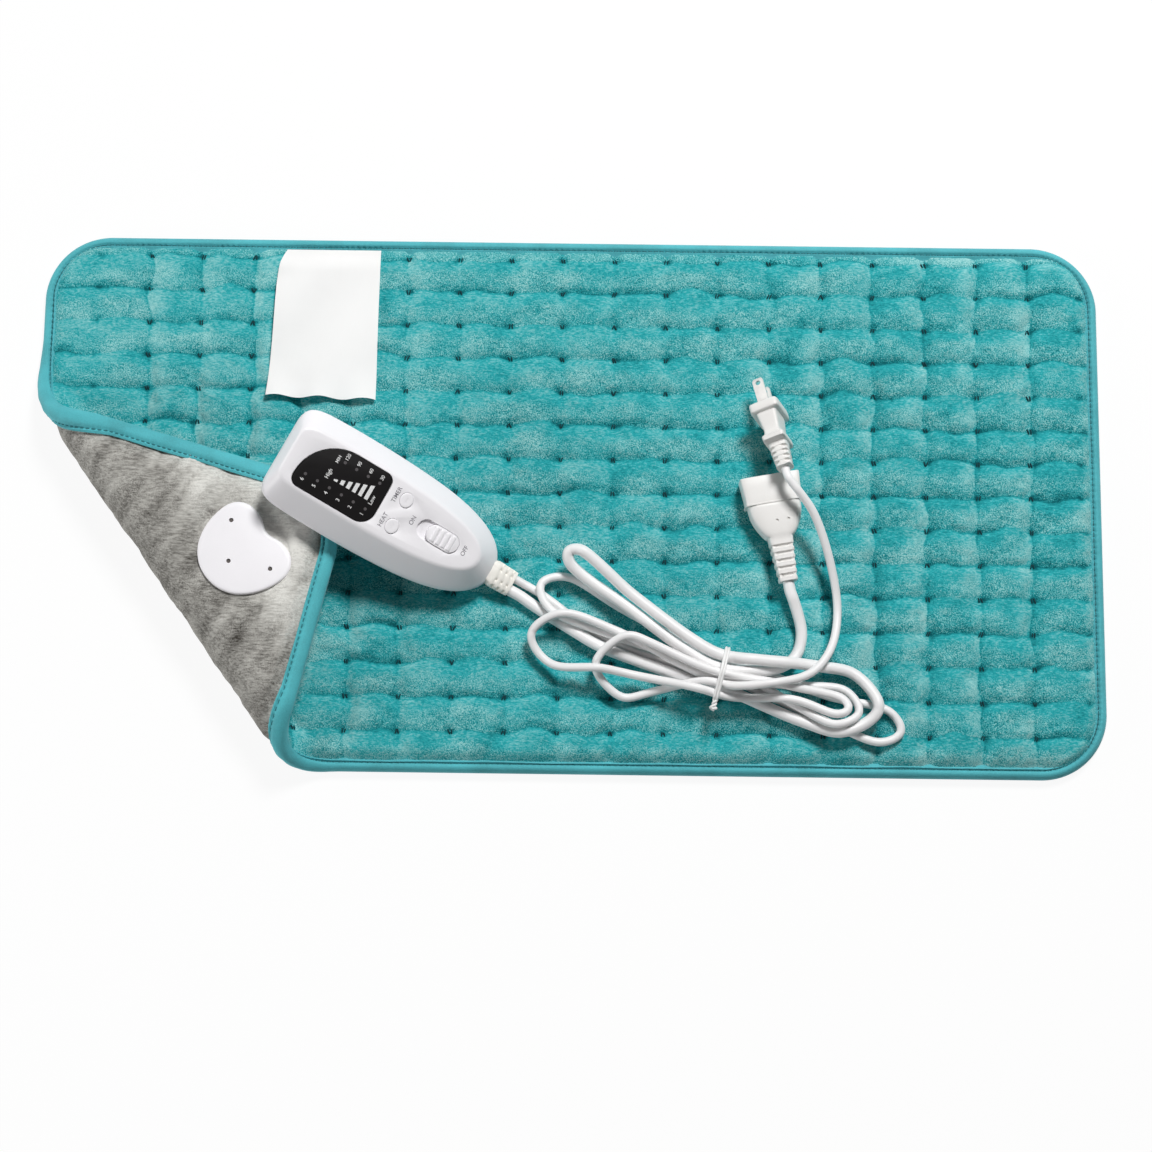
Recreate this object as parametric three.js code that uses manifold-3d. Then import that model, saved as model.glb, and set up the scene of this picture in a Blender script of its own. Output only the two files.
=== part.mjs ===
// A quilted heating pad with a hand controller, laid flat with one corner folded over the front.
// Millimetres, +Z up. The origin is the middle of the pad's underside and +X runs along its length.
import * as THREE from 'three';
import { mergeVertices } from 'three/addons/utils/BufferGeometryUtils.js';
import Module from 'manifold-3d';

const wasm = await Module();
wasm.setup();

// Clearances
const seatGap = 0.3; // between pieces that rest on or pass through each other
const strandGap = 0.8; // between the strands of the hank
const buttonGap = 0.35; // round a button or the slider in its opening

// Pad, as one stack of layers
const padLength = 610;
const padWidth = 310;
const padCornerRadius = 38;
const layoutFromLeft = 305; // of the point that the fold and all that lies on the pad are set out from
const layoutX = layoutFromLeft - padLength / 2;
const backCoverThickness = 3;
const feltThickness = 1.2;
const wireDiameter = 2;
const wireClearance = 0.8;
const frontCoverThickness = 3.4;
const heaterInset = 23; // edge of the felt from the edge of the pad

// Sewn edge
const bindingWidth = 10;
const bindingThickness = 0.9;
const bindingLift = 0.15; // of the binding above the resting face of the back cover
const edgeBackThickness = 1.75; // covers pressed flat under the binding
const edgeFrontThickness = 2.6;
const edgeSlack = 1.5; // between the covers' edges and the tape's fold

// Tack stitches that quilt the front cover
const tackColumns = 18;
const tackRows = 15;
const tackMarginLeft = 54;
const tackMarginRight = 44;
const tackMarginTop = 15;
const tackMarginBottom = 20;
const tackDepth = 2.4;

// Folded corner
const foldDirection = -54.3; // of the fold line in plan, degrees
const foldDistance = 193.4; // of the bend's axis from the layout's origin
const foldInnerRadius = 9.5;
const foldDroop = 6; // of the flap towards its corner, degrees
const foldSkew = 0.155; // slide of the flap along the fold, per millimetre of flap
const foldFacets = 4;

// Heating wire
const wireRows = 5;
const wireRowPitch = 50;
const wireHalfSpan = 248;

// Thermal cut-out, beside the heating wire
const cutoutLength = 16;
const cutoutWidth = 6;
const cutoutHeight = 2.6;
const cutoutX = 120;
const cutoutY = 25;

// Care label, caught under the top binding
const labelWidth = 54;
const labelLength = 88;
const labelThickness = 0.4;
const labelMiddleX = -139;
const labelFlare = 3.5; // to each side at the free end
const labelWave = 1.2;

// Pad socket, through the folded corner
const socketFromLeft = 50.8; // its middle, from the pad's left edge before folding
const socketFromBottom = 55.6;
const socketTurn = -4; // in the plane of the flap, degrees
const heartLength = 44.8;
const heartWidth = 53;
const heartNotch = 3.1;
const heartThickness = 2;
const socketBaseThickness = 2.4;
const socketHoodLength = 26;
const socketHoodWidth = 41;
const socketHoodHeight = 9.6;
const socketHoodX = -1; // middle of the hood from the middle of the plate
const socketPinDiameter = 2.6;
const socketPinLength = 17;
const socketPinSpacing = 14;
const socketPinInset = 7; // depth of a pin in the hood
const socketScrewDiameter = 2.4;
const socketScrewDepth = 3.6; // of a screw in the base and hood
const socketScrewRecess = 0.7; // of a screw's end below the face of the plate
const socketScrewPlaces = [[8.1, 17.6], [8.1, -17.6], [-7.2, 0]];

// Controller case, from its blunt end
const caseLength = 136.6;
const caseHalfWidth = 30;
const caseHeight = 24;
const caseSeam = 9.6;
const caseWall = 2;
const caseTipX = layoutX - 41.7; // tip of the seam line in plan
const caseTipY = -43.6;
const caseYaw = -28; // degrees
const casePitch = 16.4; // nose down, degrees
const caseRest = 4; // from the nose back to the point it rests on

// Half of the case's outline: curve points as a distance from the blunt end and a share of the half width
const caseCurve = [
  [0, 0.57], [0, 0.87], [4, 0.95], [14, 0.98], [30, 1.01], [62, 1.02],
  [88, 0.945], [108, 0.88], [caseLength, 0.7], [caseLength, 0],
];

// Display window
const windowStart = 11.2;
const windowFromNose = 75.6;
const windowEnd = caseLength - windowFromNose;
const windowHalfWidth = 16;
const windowThickness = 1.3;
const windowLedge = 1.6;
const windowRadii = [5, 9, 5, 26]; // near, far at the right hand, then far, near at the left hand

// Buttons and slider
const buttonFromNose = 64.2;
const buttonX = caseLength - buttonFromNose;
const buttonSpacing = 16.4;
const buttonLength = 7.5;
const buttonWidth = 8.7;
const buttonProud = 0.7;
const buttonTravel = 0.8;
const buttonFlange = 1.1;
const buttonFlangeThickness = 1;
const sliderSlotFromNose = 52;
const sliderSlotStart = caseLength - sliderSlotFromNose;
const sliderSlotLength = 26;
const sliderSlotWidth = 11.6;
const sliderSlotDepth = 2.6;
const sliderKnobLength = 19.6;
const sliderKnobProud = 1.5;
const sliderRibs = 4;
const sliderRibHeight = 0.6;
const sliderStemLength = 4; // along the slide
const sliderStemWidth = 3;

// Inside the controller
const boardThickness = 1.6;
const boardHeight = 14.6; // of its underside above the case's underside
const boardInset = 6;
const boardNoseInset = 15;
const boardSideInset = 9.8;
const postRadius = 3;
const caseScrewDiameter = 2.6;
const caseScrewHeadDiameter = 5;
const bluntScrewX = 13;
const bluntScrewSide = 17;
const noseScrewInset = 17;
const caseScrewPlaces = [
  [bluntScrewX, bluntScrewSide], [bluntScrewX, -bluntScrewSide], [caseLength - noseScrewInset, 0],
];
const lightDiameter = 2.4;
const lightMarginSide = 7; // of the timer's lights from the window's edges
const heatLightSide = 8.4; // of the heat lights from the window's edge
const heatLightMargin = 6.2;
const timerLightStart = 21.8;
const heatLightCount = 6;
const timerLightCount = 4;
const tactSize = 6;
const tactBodyHeight = 1.5;
const powerSwitchLength = 15;
const powerSwitchWidth = 7;
const powerSwitchHeight = 2.6;
const powerSwitchGroove = 1.2;
const microcontroller = { x: 34, y: 0, length: 12, width: 8, height: 2 };
const triac = { x: buttonX - 8.8, y: -3.8, length: 10, width: 4.5, height: 9 };
const fuse = { x: sliderSlotStart + 2, y: 8, length: 20, radius: 2.6 };
const capacitor = { x: sliderSlotStart - 2, y: -8, radius: 5, height: 10 };
const screwHeadRecess = 0.6;
const screwHeadTop = 2.2;
const screwThreadLength = 3; // of a case screw in the top shell

// Strain relief of the controller
const reliefLength = 14;
const reliefWidth = 15.6;
const reliefHeight = 9;
const reliefRibs = 4;
const reliefRibDepth = 0.9;
const reliefNeckLength = 12;
const reliefNeckWidth = 11;
const reliefNeckHeight = 6;
const reliefFlange = 1.6;

// Cords and their hank
const mainsCordDiameter = 4.7;
const padCordDiameter = 6.5;
const cordSpacing = 7; // of the two cords at the strain relief
const tieX = layoutX + 87;
const tieY = -99;
const tieAngle = -13.5; // of the strands through the tie, degrees
const tieLength = 14; // of the straight stretch through the tie
const tieDiameter = 1.6;
const tieGap = 0.4;
const tieTailLength = 9;
const cordSlope = 0.35; // most that a strand climbs per millimetre
const cordStraight = 5; // of a cord where it leaves a moulding
const sampleStep = 1.5; // along a cord while it is laid
const strandTolerance = 0.18; // of the strands' facets
const smoothRounds = 40;
const layRounds = 4;
const hankReach = 78; // from the tie to the end of each lead
const tailReach = 34; // from the tie to the start of each tail

// Loops of the hank in the order that each cord runs through them: the distance of the tip from
// the tie, its bearing in degrees, half the loop's width and the share of that halfway to the tie
const padLoops = [
  { reach: 90, bearing: -12.2, half: 17, flank: 0.95 },
  { reach: 110.4, bearing: 142, half: 4.2, flank: 0.8 },
];
const mainsLoops = [
  { reach: 106, bearing: -17, half: 9, flank: 0.75 },
  { reach: 113.6, bearing: 153.9, half: 10.5, flank: 0.8 },
  { reach: 80, bearing: -15.4, half: 10.4, flank: 0.6 },
  { reach: 109, bearing: 168.9, half: 14, flank: 0.8 },
  { reach: 74, bearing: -15.4, half: 4.8, flank: 0.7 },
  { reach: 71, bearing: 176.8, half: 17, flank: 0.8 },
];

// Place of each pass across the tie, in the order that each cord runs through it
const padSlots = [-8.2, 9.8, 2.6];
const mainsSlots = [-1.9, 9.1, 3.6, -3.9, -12.3, -0.6, -6.7];

// Hand-laid stretches in plan, from the strain relief to the hank and from the hank outwards
const padLead = [[-17.5, -61.8], [1, -73.5], [18, -83.6], [37, -91], [57, -98]];
const padTail = [[100, -98], [115, -97], [128, -90], [132.5, -76], [129, -61]];
const mainsLead = [[-15.5, -53.6], [-5, -61], [11.5, -73.6], [42, -87]];
const mainsTail = [
  [120, -104.8], [136.7, -99], [148, -84.7], [152.5, -62], [147.5, -34.3], [137, -8], [127.6, 3.4],
];

// Heights that hold a cord up, as distances along it and heights above the pad's top
const padTiltPins = [[-60, 0], [-28, 14], [-8, 17], [0, 11], [8, 6], [24, 0]]; // from the tip of the last loop
const plugTailPins = [[0, 25.5], [6, 27.2], [14, 26.4], [30, 20.5], [55, 10], [80, 3]]; // from the plug

// Mains plug
const plugX = layoutX + 121.5; // its cord end in plan
const plugY = 15.2;
const plugZ = 37;
const plugYaw = 103.4;
const plugPitch = 17; // nose down
const plugRoll = 71; // of the blade row out of the level
const plugReliefLength = 15;
const plugBodyLength = 24;
const plugFrontWidth = 24; // across the blade row
const plugFrontDepth = 16.5;
const plugWaist = 3.2; // of the body behind its front flange, each side
const plugFlange = 5;
const plugReliefRibs = 5;
const plugReliefHalf = [4.4, 4]; // at the cord end
const bladeLength = 17.5;
const bladeWidth = 6.35;
const bladeThickness = 1.5;
const bladeSpacing = 12.7;
const bladeRoot = 9; // length of a blade inside the body
const bladeHole = 3;

// Detachable connector
const connectorX = layoutX + 124.6; // its cord end in plan
const connectorY = -46.4;
const connectorYaw = 100.5;
const connectorReliefLength = 25;
const connectorBodyLength = 21;
const connectorShroudLength = 15;
const connectorWidth = 34;
const connectorHeight = 15.5;
const connectorWall = 1.8;
const connectorMouthDepth = 12.5;
const connectorReliefRibs = 6;
const connectorReliefHalf = [5.2, 4.8]; // at the cord end
const sleeveDiameter = 4.6;
const sleeveLength = 9;

// Heights of the layers above the pad's underside
const feltLow = backCoverThickness + seatGap;
const feltHigh = feltLow + feltThickness;
const wireHeight = feltHigh + wireClearance + wireDiameter / 2;
const frontCoverLow = wireHeight + wireDiameter / 2 + wireClearance;
const padTop = frontCoverLow + frontCoverThickness;
const tackHeight = padTop - tackDepth;
const edgeBackLow = bindingLift + bindingThickness + seatGap;
const edgeBackHigh = edgeBackLow + edgeBackThickness;
const edgeFrontLow = edgeBackHigh + seatGap;
const edgeFrontHigh = edgeFrontLow + edgeFrontThickness;
const bindingTopLow = edgeFrontHigh + seatGap;
const bindingTop = bindingTopLow + bindingThickness;
const coverInset = bindingThickness + edgeSlack;
const rimInset = bindingWidth + 2 * seatGap;

const radians = THREE.MathUtils.degToRad;
const part = new THREE.Group();

// Materials
function finish(color, roughness, metalness = 0) {
  return new THREE.MeshStandardMaterial({ color, roughness, metalness });
}
const tealPlush = finish(0x47a4aa, 0.95);
const greyPlush = finish(0xbab8b2, 0.95);
const tealTape = finish(0x5fb1b9, 0.8);
const felt = finish(0xe6e4dc, 0.95);
const paleSilicone = finish(0xe9dccb, 0.6);
const satinWhite = finish(0xfafafa, 0.8);
const whitePlastic = finish(0xf4f2f3, 0.35);
const darkWindow = finish(0x242223, 0.2);
const whiteRubber = finish(0xe9e8e6, 0.5);
const creamRubber = finish(0xefeade, 0.5);
const whiteCord = finish(0xe3e2e2, 0.45);
const brightMetal = finish(0xd8d8d6, 0.3, 1);
const brassMetal = finish(0xc9a650, 0.35, 1);
const greenBoard = finish(0x2f6b45, 0.5);
const blackPackage = finish(0x1c1c1e, 0.5);
const clearLight = finish(0xf2efe6, 0.2);

// Adds a named piece to a group.
function place(name, geometry, material, group = part) {
  const mesh = new THREE.Mesh(geometry, material);
  mesh.name = name;
  group.add(mesh);
}

// A geometry from points and triangles, turned so that its faces point out.
function closedGeometry(points, faces) {
  let volume = 0;
  for (const [a, b, c] of faces) {
    volume += points[a].dot(points[b].clone().cross(points[c]));
  }
  const geometry = new THREE.BufferGeometry();
  const coordinates = points.flatMap((p) => [p.x, p.y, p.z]);
  geometry.setAttribute('position', new THREE.Float32BufferAttribute(coordinates, 3));
  geometry.setIndex(faces.flatMap(([a, b, c]) => (volume < 0 ? [a, c, b] : [a, b, c])));
  return geometry;
}

// Skins a row of rings of equal count, with a flat fan at each end.
function loft(rings) {
  const points = rings.flat();
  const count = rings[0].length;
  const last = (rings.length - 1) * count;
  const faces = [];
  for (let start = 0; start < last; start += count) {
    for (let i = 0; i < count; i += 1) {
      const j = (i + 1) % count;
      faces.push([start + i, start + j, start + count + j]);
      faces.push([start + i, start + count + j, start + count + i]);
    }
  }
  for (const [ring, first, turned] of [[rings[0], 0, true], [rings.at(-1), last, false]]) {
    const middle = new THREE.Vector3();
    ring.forEach((p) => middle.addScaledVector(p, 1 / count));
    points.push(middle);
    for (let i = 0; i < count; i += 1) {
      const edge = [first + i, first + ((i + 1) % count)];
      faces.push(turned ? [edge[1], edge[0], points.length - 1] : [edge[0], edge[1], points.length - 1]);
    }
  }
  return closedGeometry(points, faces);
}

// A strip of cloth: rows of points for its underside, thickened upwards and closed round its rim.
function ribbon(rows, thickness) {
  const across = rows[0].length;
  const under = rows.flat();
  const points = [...under, ...under.map((p) => p.clone().setZ(p.z + thickness))];
  const faces = [];
  for (let j = 0; j < rows.length - 1; j += 1) {
    for (let i = 0; i < across - 1; i += 1) {
      const corner = j * across + i;
      const over = corner + under.length;
      faces.push([corner, corner + across, corner + across + 1], [corner, corner + across + 1, corner + 1]);
      faces.push([over, over + across + 1, over + across], [over, over + 1, over + across + 1]);
    }
  }
  const last = (rows.length - 1) * across;
  const rim = [
    ...Array.from({ length: across - 1 }, (_, i) => i),
    ...Array.from({ length: rows.length - 1 }, (_, j) => j * across + across - 1),
    ...Array.from({ length: across - 1 }, (_, i) => last + across - 1 - i),
    ...Array.from({ length: rows.length - 1 }, (_, j) => last - j * across),
  ];
  rim.forEach((a, k) => {
    const b = rim[(k + 1) % rim.length];
    faces.push([a, b, b + under.length], [a, b + under.length, a + under.length]);
  });
  return closedGeometry(points, faces);
}

// Joins and cuts closed geometries.
function solid(geometry) {
  const bare = new THREE.BufferGeometry();
  bare.setAttribute('position', geometry.getAttribute('position').clone());
  bare.setIndex(geometry.index);
  const merged = mergeVertices(bare, 1e-4);
  return new wasm.Manifold(new wasm.Mesh({
    numProp: 3,
    vertProperties: new Float32Array(merged.attributes.position.array),
    triVerts: new Uint32Array(merged.index.array),
  }));
}
function geometryOf(body) {
  const mesh = body.getMesh();
  const geometry = new THREE.BufferGeometry();
  geometry.setAttribute('position', new THREE.Float32BufferAttribute(mesh.vertProperties, 3));
  geometry.setIndex(Array.from(mesh.triVerts));
  return geometry;
}
function join(...pieces) {
  return geometryOf(pieces.map(solid).reduce((sum, next) => sum.add(next)));
}
function common(first, second) {
  return geometryOf(solid(first).intersect(solid(second)));
}
function cut(piece, ...tools) {
  return geometryOf(tools.map(solid).reduce((rest, tool) => rest.subtract(tool), solid(piece)));
}

// Simple solids, given by where they start and end.
function box(x0, x1, y0, y1, z0, z1) {
  const geometry = new THREE.BoxGeometry(x1 - x0, y1 - y0, z1 - z0);
  return geometry.translate((x0 + x1) / 2, (y0 + y1) / 2, (z0 + z1) / 2);
}
function upright(radius, x, y, z0, z1, sides = 12, topRadius = radius) {
  const geometry = new THREE.CylinderGeometry(topRadius, radius, z1 - z0, sides);
  return geometry.rotateX(Math.PI / 2).translate(x, y, (z0 + z1) / 2);
}
function lying(radius, x0, x1, y, z, sides = 12) {
  const geometry = new THREE.CylinderGeometry(radius, radius, x1 - x0, sides);
  return geometry.rotateZ(-Math.PI / 2).translate((x0 + x1) / 2, y, z);
}
function prism(shape, z0, z1, curveSegments = 6) {
  const geometry = new THREE.ExtrudeGeometry(shape, { depth: z1 - z0, bevelEnabled: false, curveSegments });
  return geometry.translate(0, 0, z0);
}
function ellipse(x, y, halfLength, halfWidth) {
  return new THREE.Shape().absellipse(x, y, halfLength, halfWidth, 0, Math.PI * 2);
}

// A rectangle with its own radius at each corner, listed anticlockwise from the near right-hand one.
function roundedRectangle(x0, x1, y0, y1, radii) {
  const [a, b, c, d] = Array.isArray(radii) ? radii : [radii, radii, radii, radii];
  const shape = new THREE.Shape();
  shape.moveTo(x0 + a, y0);
  shape.lineTo(x1 - b, y0);
  shape.absarc(x1 - b, y0 + b, b, -Math.PI / 2, 0);
  shape.lineTo(x1, y1 - c);
  shape.absarc(x1 - c, y1 - c, c, 0, Math.PI / 2);
  shape.lineTo(x0 + d, y1);
  shape.absarc(x0 + d, y1 - d, d, Math.PI / 2, Math.PI);
  shape.lineTo(x0, y0 + a);
  shape.absarc(x0 + a, y0 + a, a, Math.PI, Math.PI * 1.5);
  return shape;
}

// A ring round the X axis between an ellipse and a rectangle in form.
function ovalRing(x, halfWidth, halfHeight, squareness, count = 16) {
  const ring = [];
  for (let i = 0; i < count; i += 1) {
    const angle = (2 * Math.PI * (i + 0.5)) / count;
    const c = Math.cos(angle);
    const s = Math.sin(angle);
    const y = halfWidth * Math.sign(c) * Math.abs(c) ** (2 / squareness);
    const z = halfHeight * Math.sign(s) * Math.abs(s) ** (2 / squareness);
    ring.push(new THREE.Vector3(x, y, z));
  }
  return ring;
}

// Ribbed, tapering sleeve along X: two rings for each rib and each groove.
function ribbedRings(x0, x1, ribs, startHalf, endHalf, depth, squareness) {
  const rings = [];
  const pitch = (x1 - x0) / ribs;
  for (let i = 0; i < ribs; i += 1) {
    const share = i / Math.max(1, ribs - 1);
    const halfWidth = THREE.MathUtils.lerp(startHalf[0], endHalf[0], share);
    const halfHeight = THREE.MathUtils.lerp(startHalf[1], endHalf[1], share);
    const start = x0 + i * pitch;
    rings.push(ovalRing(start, halfWidth, halfHeight, squareness));
    rings.push(ovalRing(start + 0.55 * pitch, halfWidth, halfHeight, squareness));
    if (i + 1 < ribs) {
      rings.push(ovalRing(start + 0.65 * pitch, halfWidth - depth, halfHeight - depth, squareness));
      rings.push(ovalRing(start + 0.9 * pitch, halfWidth - depth, halfHeight - depth, squareness));
    }
  }
  return rings;
}

// The folded corner: a bend of flat facets about an axis above the pad, then a flat flap.
const foldAlong = new THREE.Vector2(Math.cos(radians(foldDirection)), Math.sin(radians(foldDirection)));
const foldAcross = new THREE.Vector2(foldAlong.y, -foldAlong.x);
const bendHeight = padTop + foldInnerRadius;
const bendAngle = Math.PI + radians(foldDroop);
const bendLength = (bendHeight - padTop / 2) * bendAngle;
const bendStep = bendLength / foldFacets;

function acrossFold(u, v) {
  return (u - layoutX) * foldAcross.x + v * foldAcross.y - foldDistance;
}
function bendStation(index, w) {
  const angle = (bendAngle * index) / foldFacets;
  const radius = bendHeight - w;
  const travelled = index * bendStep;
  return {
    across: radius * Math.sin(angle),
    up: bendHeight - radius * Math.cos(angle),
    slide: (foldSkew * travelled * travelled) / (2 * bendLength),
  };
}

// Where a point of the flat pad lies after folding: u along, v across, w up from its underside.
function folded(u, v, w) {
  const distance = acrossFold(u, v);
  if (distance <= 0) {
    return new THREE.Vector3(u, v, w);
  }
  let { across, up, slide } = bendStation(foldFacets, w);
  if (distance < bendLength) {
    const index = Math.floor(distance / bendStep);
    const share = distance / bendStep - index;
    const from = bendStation(index, w);
    const to = bendStation(index + 1, w);
    across = THREE.MathUtils.lerp(from.across, to.across, share);
    up = THREE.MathUtils.lerp(from.up, to.up, share);
    slide = THREE.MathUtils.lerp(from.slide, to.slide, share);
  } else {
    const beyond = distance - bendLength;
    across += beyond * Math.cos(bendAngle);
    up += beyond * Math.sin(bendAngle);
    slide += foldSkew * beyond;
  }
  const along = (u - layoutX) * foldAlong.x + v * foldAlong.y - slide;
  const x = layoutX + (foldDistance + across) * foldAcross.x + along * foldAlong.x;
  const y = (foldDistance + across) * foldAcross.y + along * foldAlong.y;
  return new THREE.Vector3(x, y, up);
}

// A mesh of the flat pad that can be cut along the bend's lines and then folded.
class FlatMesh {
  points = [];
  faces = [];

  loop(corners, w) {
    return corners.map(([u, v]) => this.point(u, v, w));
  }

  point(u, v, w) {
    return this.points.push([u, v, w]) - 1;
  }

  // Faces between two loops of equal count, the first lying to the right of the second.
  strip(first, second) {
    first.forEach((a, i) => {
      const next = (i + 1) % first.length;
      this.faces.push([a, first[next], second[next]], [a, second[next], second[i]]);
    });
  }

  // Fills a loop, round an inner loop if one is given, facing up or down.
  fill(outer, inner = [], facing = 1) {
    const flat = (index) => new THREE.Vector2(this.points[index][0], this.points[index][1]);
    const holes = inner.length ? [inner.map(flat)] : [];
    const all = [...outer, ...inner];
    for (const [a, b, c] of THREE.ShapeUtils.triangulateShape(outer.map(flat), holes)) {
      const area = flat(all[b]).sub(flat(all[a])).cross(flat(all[c]).sub(flat(all[a])));
      const face = [all[a], all[b], all[c]];
      this.faces.push(area * facing > 0 ? face : face.reverse());
    }
  }

  // Splits every face that a bend line crosses.
  sliceAlongBend() {
    for (let line = 0; line <= foldFacets; line += 1) {
      const side = this.points.map(([u, v]) => {
        const distance = acrossFold(u, v) - line * bendStep;
        return Math.abs(distance) < 0.02 ? 0 : distance;
      });
      const crossings = new Map();
      const crossing = (a, b) => {
        const key = a < b ? `${a} ${b}` : `${b} ${a}`;
        if (!crossings.has(key)) {
          const share = side[a] / (side[a] - side[b]);
          const place = this.points[a].map((value, i) => value + share * (this.points[b][i] - value));
          crossings.set(key, this.point(...place));
          side.push(0);
        }
        return crossings.get(key);
      };
      this.faces = this.faces.flatMap((face) => splitFace(face, side, crossing));
    }
  }

  geometry() {
    this.sliceAlongBend();
    return closedGeometry(this.points.map((p) => folded(...p)), this.faces);
  }
}

// Splits one triangle where its corners lie on both sides of a line.
function splitFace(face, side, crossing) {
  const signs = face.map((index) => Math.sign(side[index]));
  if (!signs.includes(1) || !signs.includes(-1)) {
    return [face];
  }
  const onLine = signs.indexOf(0);
  if (onLine >= 0) {
    const [a, b, c] = [0, 1, 2].map((i) => face[(onLine + i) % 3]);
    const middle = crossing(b, c);
    return [[a, b, middle], [a, middle, c]];
  }
  const alone = signs.findIndex((sign) => signs.filter((other) => other === sign).length === 1);
  const [a, b, c] = [0, 1, 2].map((i) => face[(alone + i) % 3]);
  const ab = crossing(a, b);
  const ac = crossing(a, c);
  return [[a, ab, ac], [ab, b, c], [ab, c, ac]];
}

// The pad's outline, drawn in by an inset: the same number of points at any inset.
function padRing(inset) {
  const cornerSteps = 4;
  const radius = padCornerRadius - inset;
  const middleX = padLength / 2 - padCornerRadius;
  const middleY = padWidth / 2 - padCornerRadius;
  const middles = [[middleX, middleY], [-middleX, middleY], [-middleX, -middleY], [middleX, -middleY]];
  const arcs = middles.map(([x, y], quarter) => Array.from({ length: cornerSteps + 1 }, (_, i) => {
    const angle = (Math.PI / 2) * (quarter + i / cornerSteps);
    return [x + radius * Math.cos(angle), y + radius * Math.sin(angle)];
  }));
  return arcs.flat();
}

// Front cover: plush puffed up between the tack stitches.
function frontCover() {
  const mesh = new FlatMesh();
  const edgeLow = mesh.loop(padRing(coverInset), edgeFrontLow);
  const edgeHigh = mesh.loop(padRing(coverInset), edgeFrontHigh);
  const rim = mesh.loop(padRing(rimInset), edgeFrontHigh);
  const lining = mesh.loop(padRing(heaterInset), frontCoverLow);
  mesh.strip(edgeLow, edgeHigh);
  mesh.strip(edgeHigh, rim);
  mesh.strip(lining, edgeLow);
  mesh.fill(lining, [], -1);

  const bottom = -padWidth / 2 + tackMarginBottom;
  const top = padWidth / 2 - tackMarginTop;
  const left = -padLength / 2 + tackMarginLeft;
  const right = padLength / 2 - tackMarginRight;
  const columnX = Array.from({ length: tackColumns }, (_, i) => left + (i * (right - left)) / (tackColumns - 1));
  const rowY = Array.from({ length: tackRows }, (_, j) => bottom + (j * (top - bottom)) / (tackRows - 1));
  // A plain column past the last tacks at each end, just inside the rounded corners.
  const reach = padCornerRadius - rimInset - 2 * seatGap;
  const rise = Math.max(0, Math.max(top, -bottom) - (padWidth / 2 - padCornerRadius));
  const plainX = padLength / 2 - padCornerRadius + Math.sqrt(reach * reach - rise * rise);
  const gridX = [-plainX, ...columnX, plainX];
  const plainHeight = tackHeight + tackDepth / 3;
  const grid = gridX.map((x, i) => {
    const plain = i === 0 || i === gridX.length - 1;
    return rowY.map((y) => mesh.point(x, y, plain ? plainHeight : tackHeight));
  });
  for (let i = 0; i + 1 < gridX.length; i += 1) {
    for (let j = 0; j + 1 < tackRows; j += 1) {
      const middle = [(gridX[i] + gridX[i + 1]) / 2, (rowY[j] + rowY[j + 1]) / 2];
      const corners = [grid[i][j], grid[i + 1][j], grid[i + 1][j + 1], grid[i][j + 1]];
      if (acrossFold(...middle) > 0) {
        // The fold presses its cells flat.
        mesh.faces.push([corners[0], corners[1], corners[2]], [corners[0], corners[2], corners[3]]);
      } else {
        const crown = mesh.point(...middle, padTop);
        corners.forEach((corner, k) => mesh.faces.push([corner, corners[(k + 1) % 4], crown]));
      }
    }
  }
  const lower = grid.map((column) => column[0]);
  const upper = grid.map((column) => column.at(-1)).reverse();
  const around = [...lower, ...grid.at(-1).slice(1, -1), ...upper, ...grid[0].slice(1, -1).reverse()];
  mesh.fill(rim, around);
  return mesh.geometry();
}

// Back cover: flat where the pad rests, stepped up under the binding.
function backCover() {
  const mesh = new FlatMesh();
  const edgeLow = mesh.loop(padRing(coverInset), edgeBackLow);
  const edgeHigh = mesh.loop(padRing(coverInset), edgeBackHigh);
  const rim = mesh.loop(padRing(rimInset), edgeBackLow);
  const foot = mesh.loop(padRing(rimInset + edgeBackLow), 0);
  const lining = mesh.loop(padRing(heaterInset), backCoverThickness);
  mesh.strip(edgeLow, edgeHigh);
  mesh.strip(edgeHigh, lining);
  mesh.fill(lining);
  mesh.strip(rim, edgeLow);
  mesh.strip(foot, rim);
  mesh.fill(foot, [], -1);
  return mesh.geometry();
}

function heaterFelt() {
  const mesh = new FlatMesh();
  const low = mesh.loop(padRing(heaterInset), feltLow);
  const high = mesh.loop(padRing(heaterInset), feltHigh);
  mesh.strip(low, high);
  mesh.fill(high);
  mesh.fill(low, [], -1);
  return mesh.geometry();
}

// Binding: a tape folded over the edge, as a C-section carried round the pad.
function edgeBinding() {
  const mesh = new FlatMesh();
  const turn = 2 * bindingThickness;
  const inner = bindingThickness;
  const section = [
    [bindingWidth, bindingLift],
    [turn, bindingLift],
    [0, bindingLift + turn],
    [0, bindingTop - turn],
    [turn, bindingTop],
    [bindingWidth, bindingTop],
    [bindingWidth, bindingTopLow],
    [inner, bindingTopLow],
    [inner, bindingLift + bindingThickness],
    [bindingWidth, bindingLift + bindingThickness],
  ];
  const loops = section.map(([inset, w]) => mesh.loop(padRing(inset), w));
  loops.forEach((loop, i) => mesh.strip(loop, loops[(i + 1) % loops.length]));
  return mesh.geometry();
}

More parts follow.
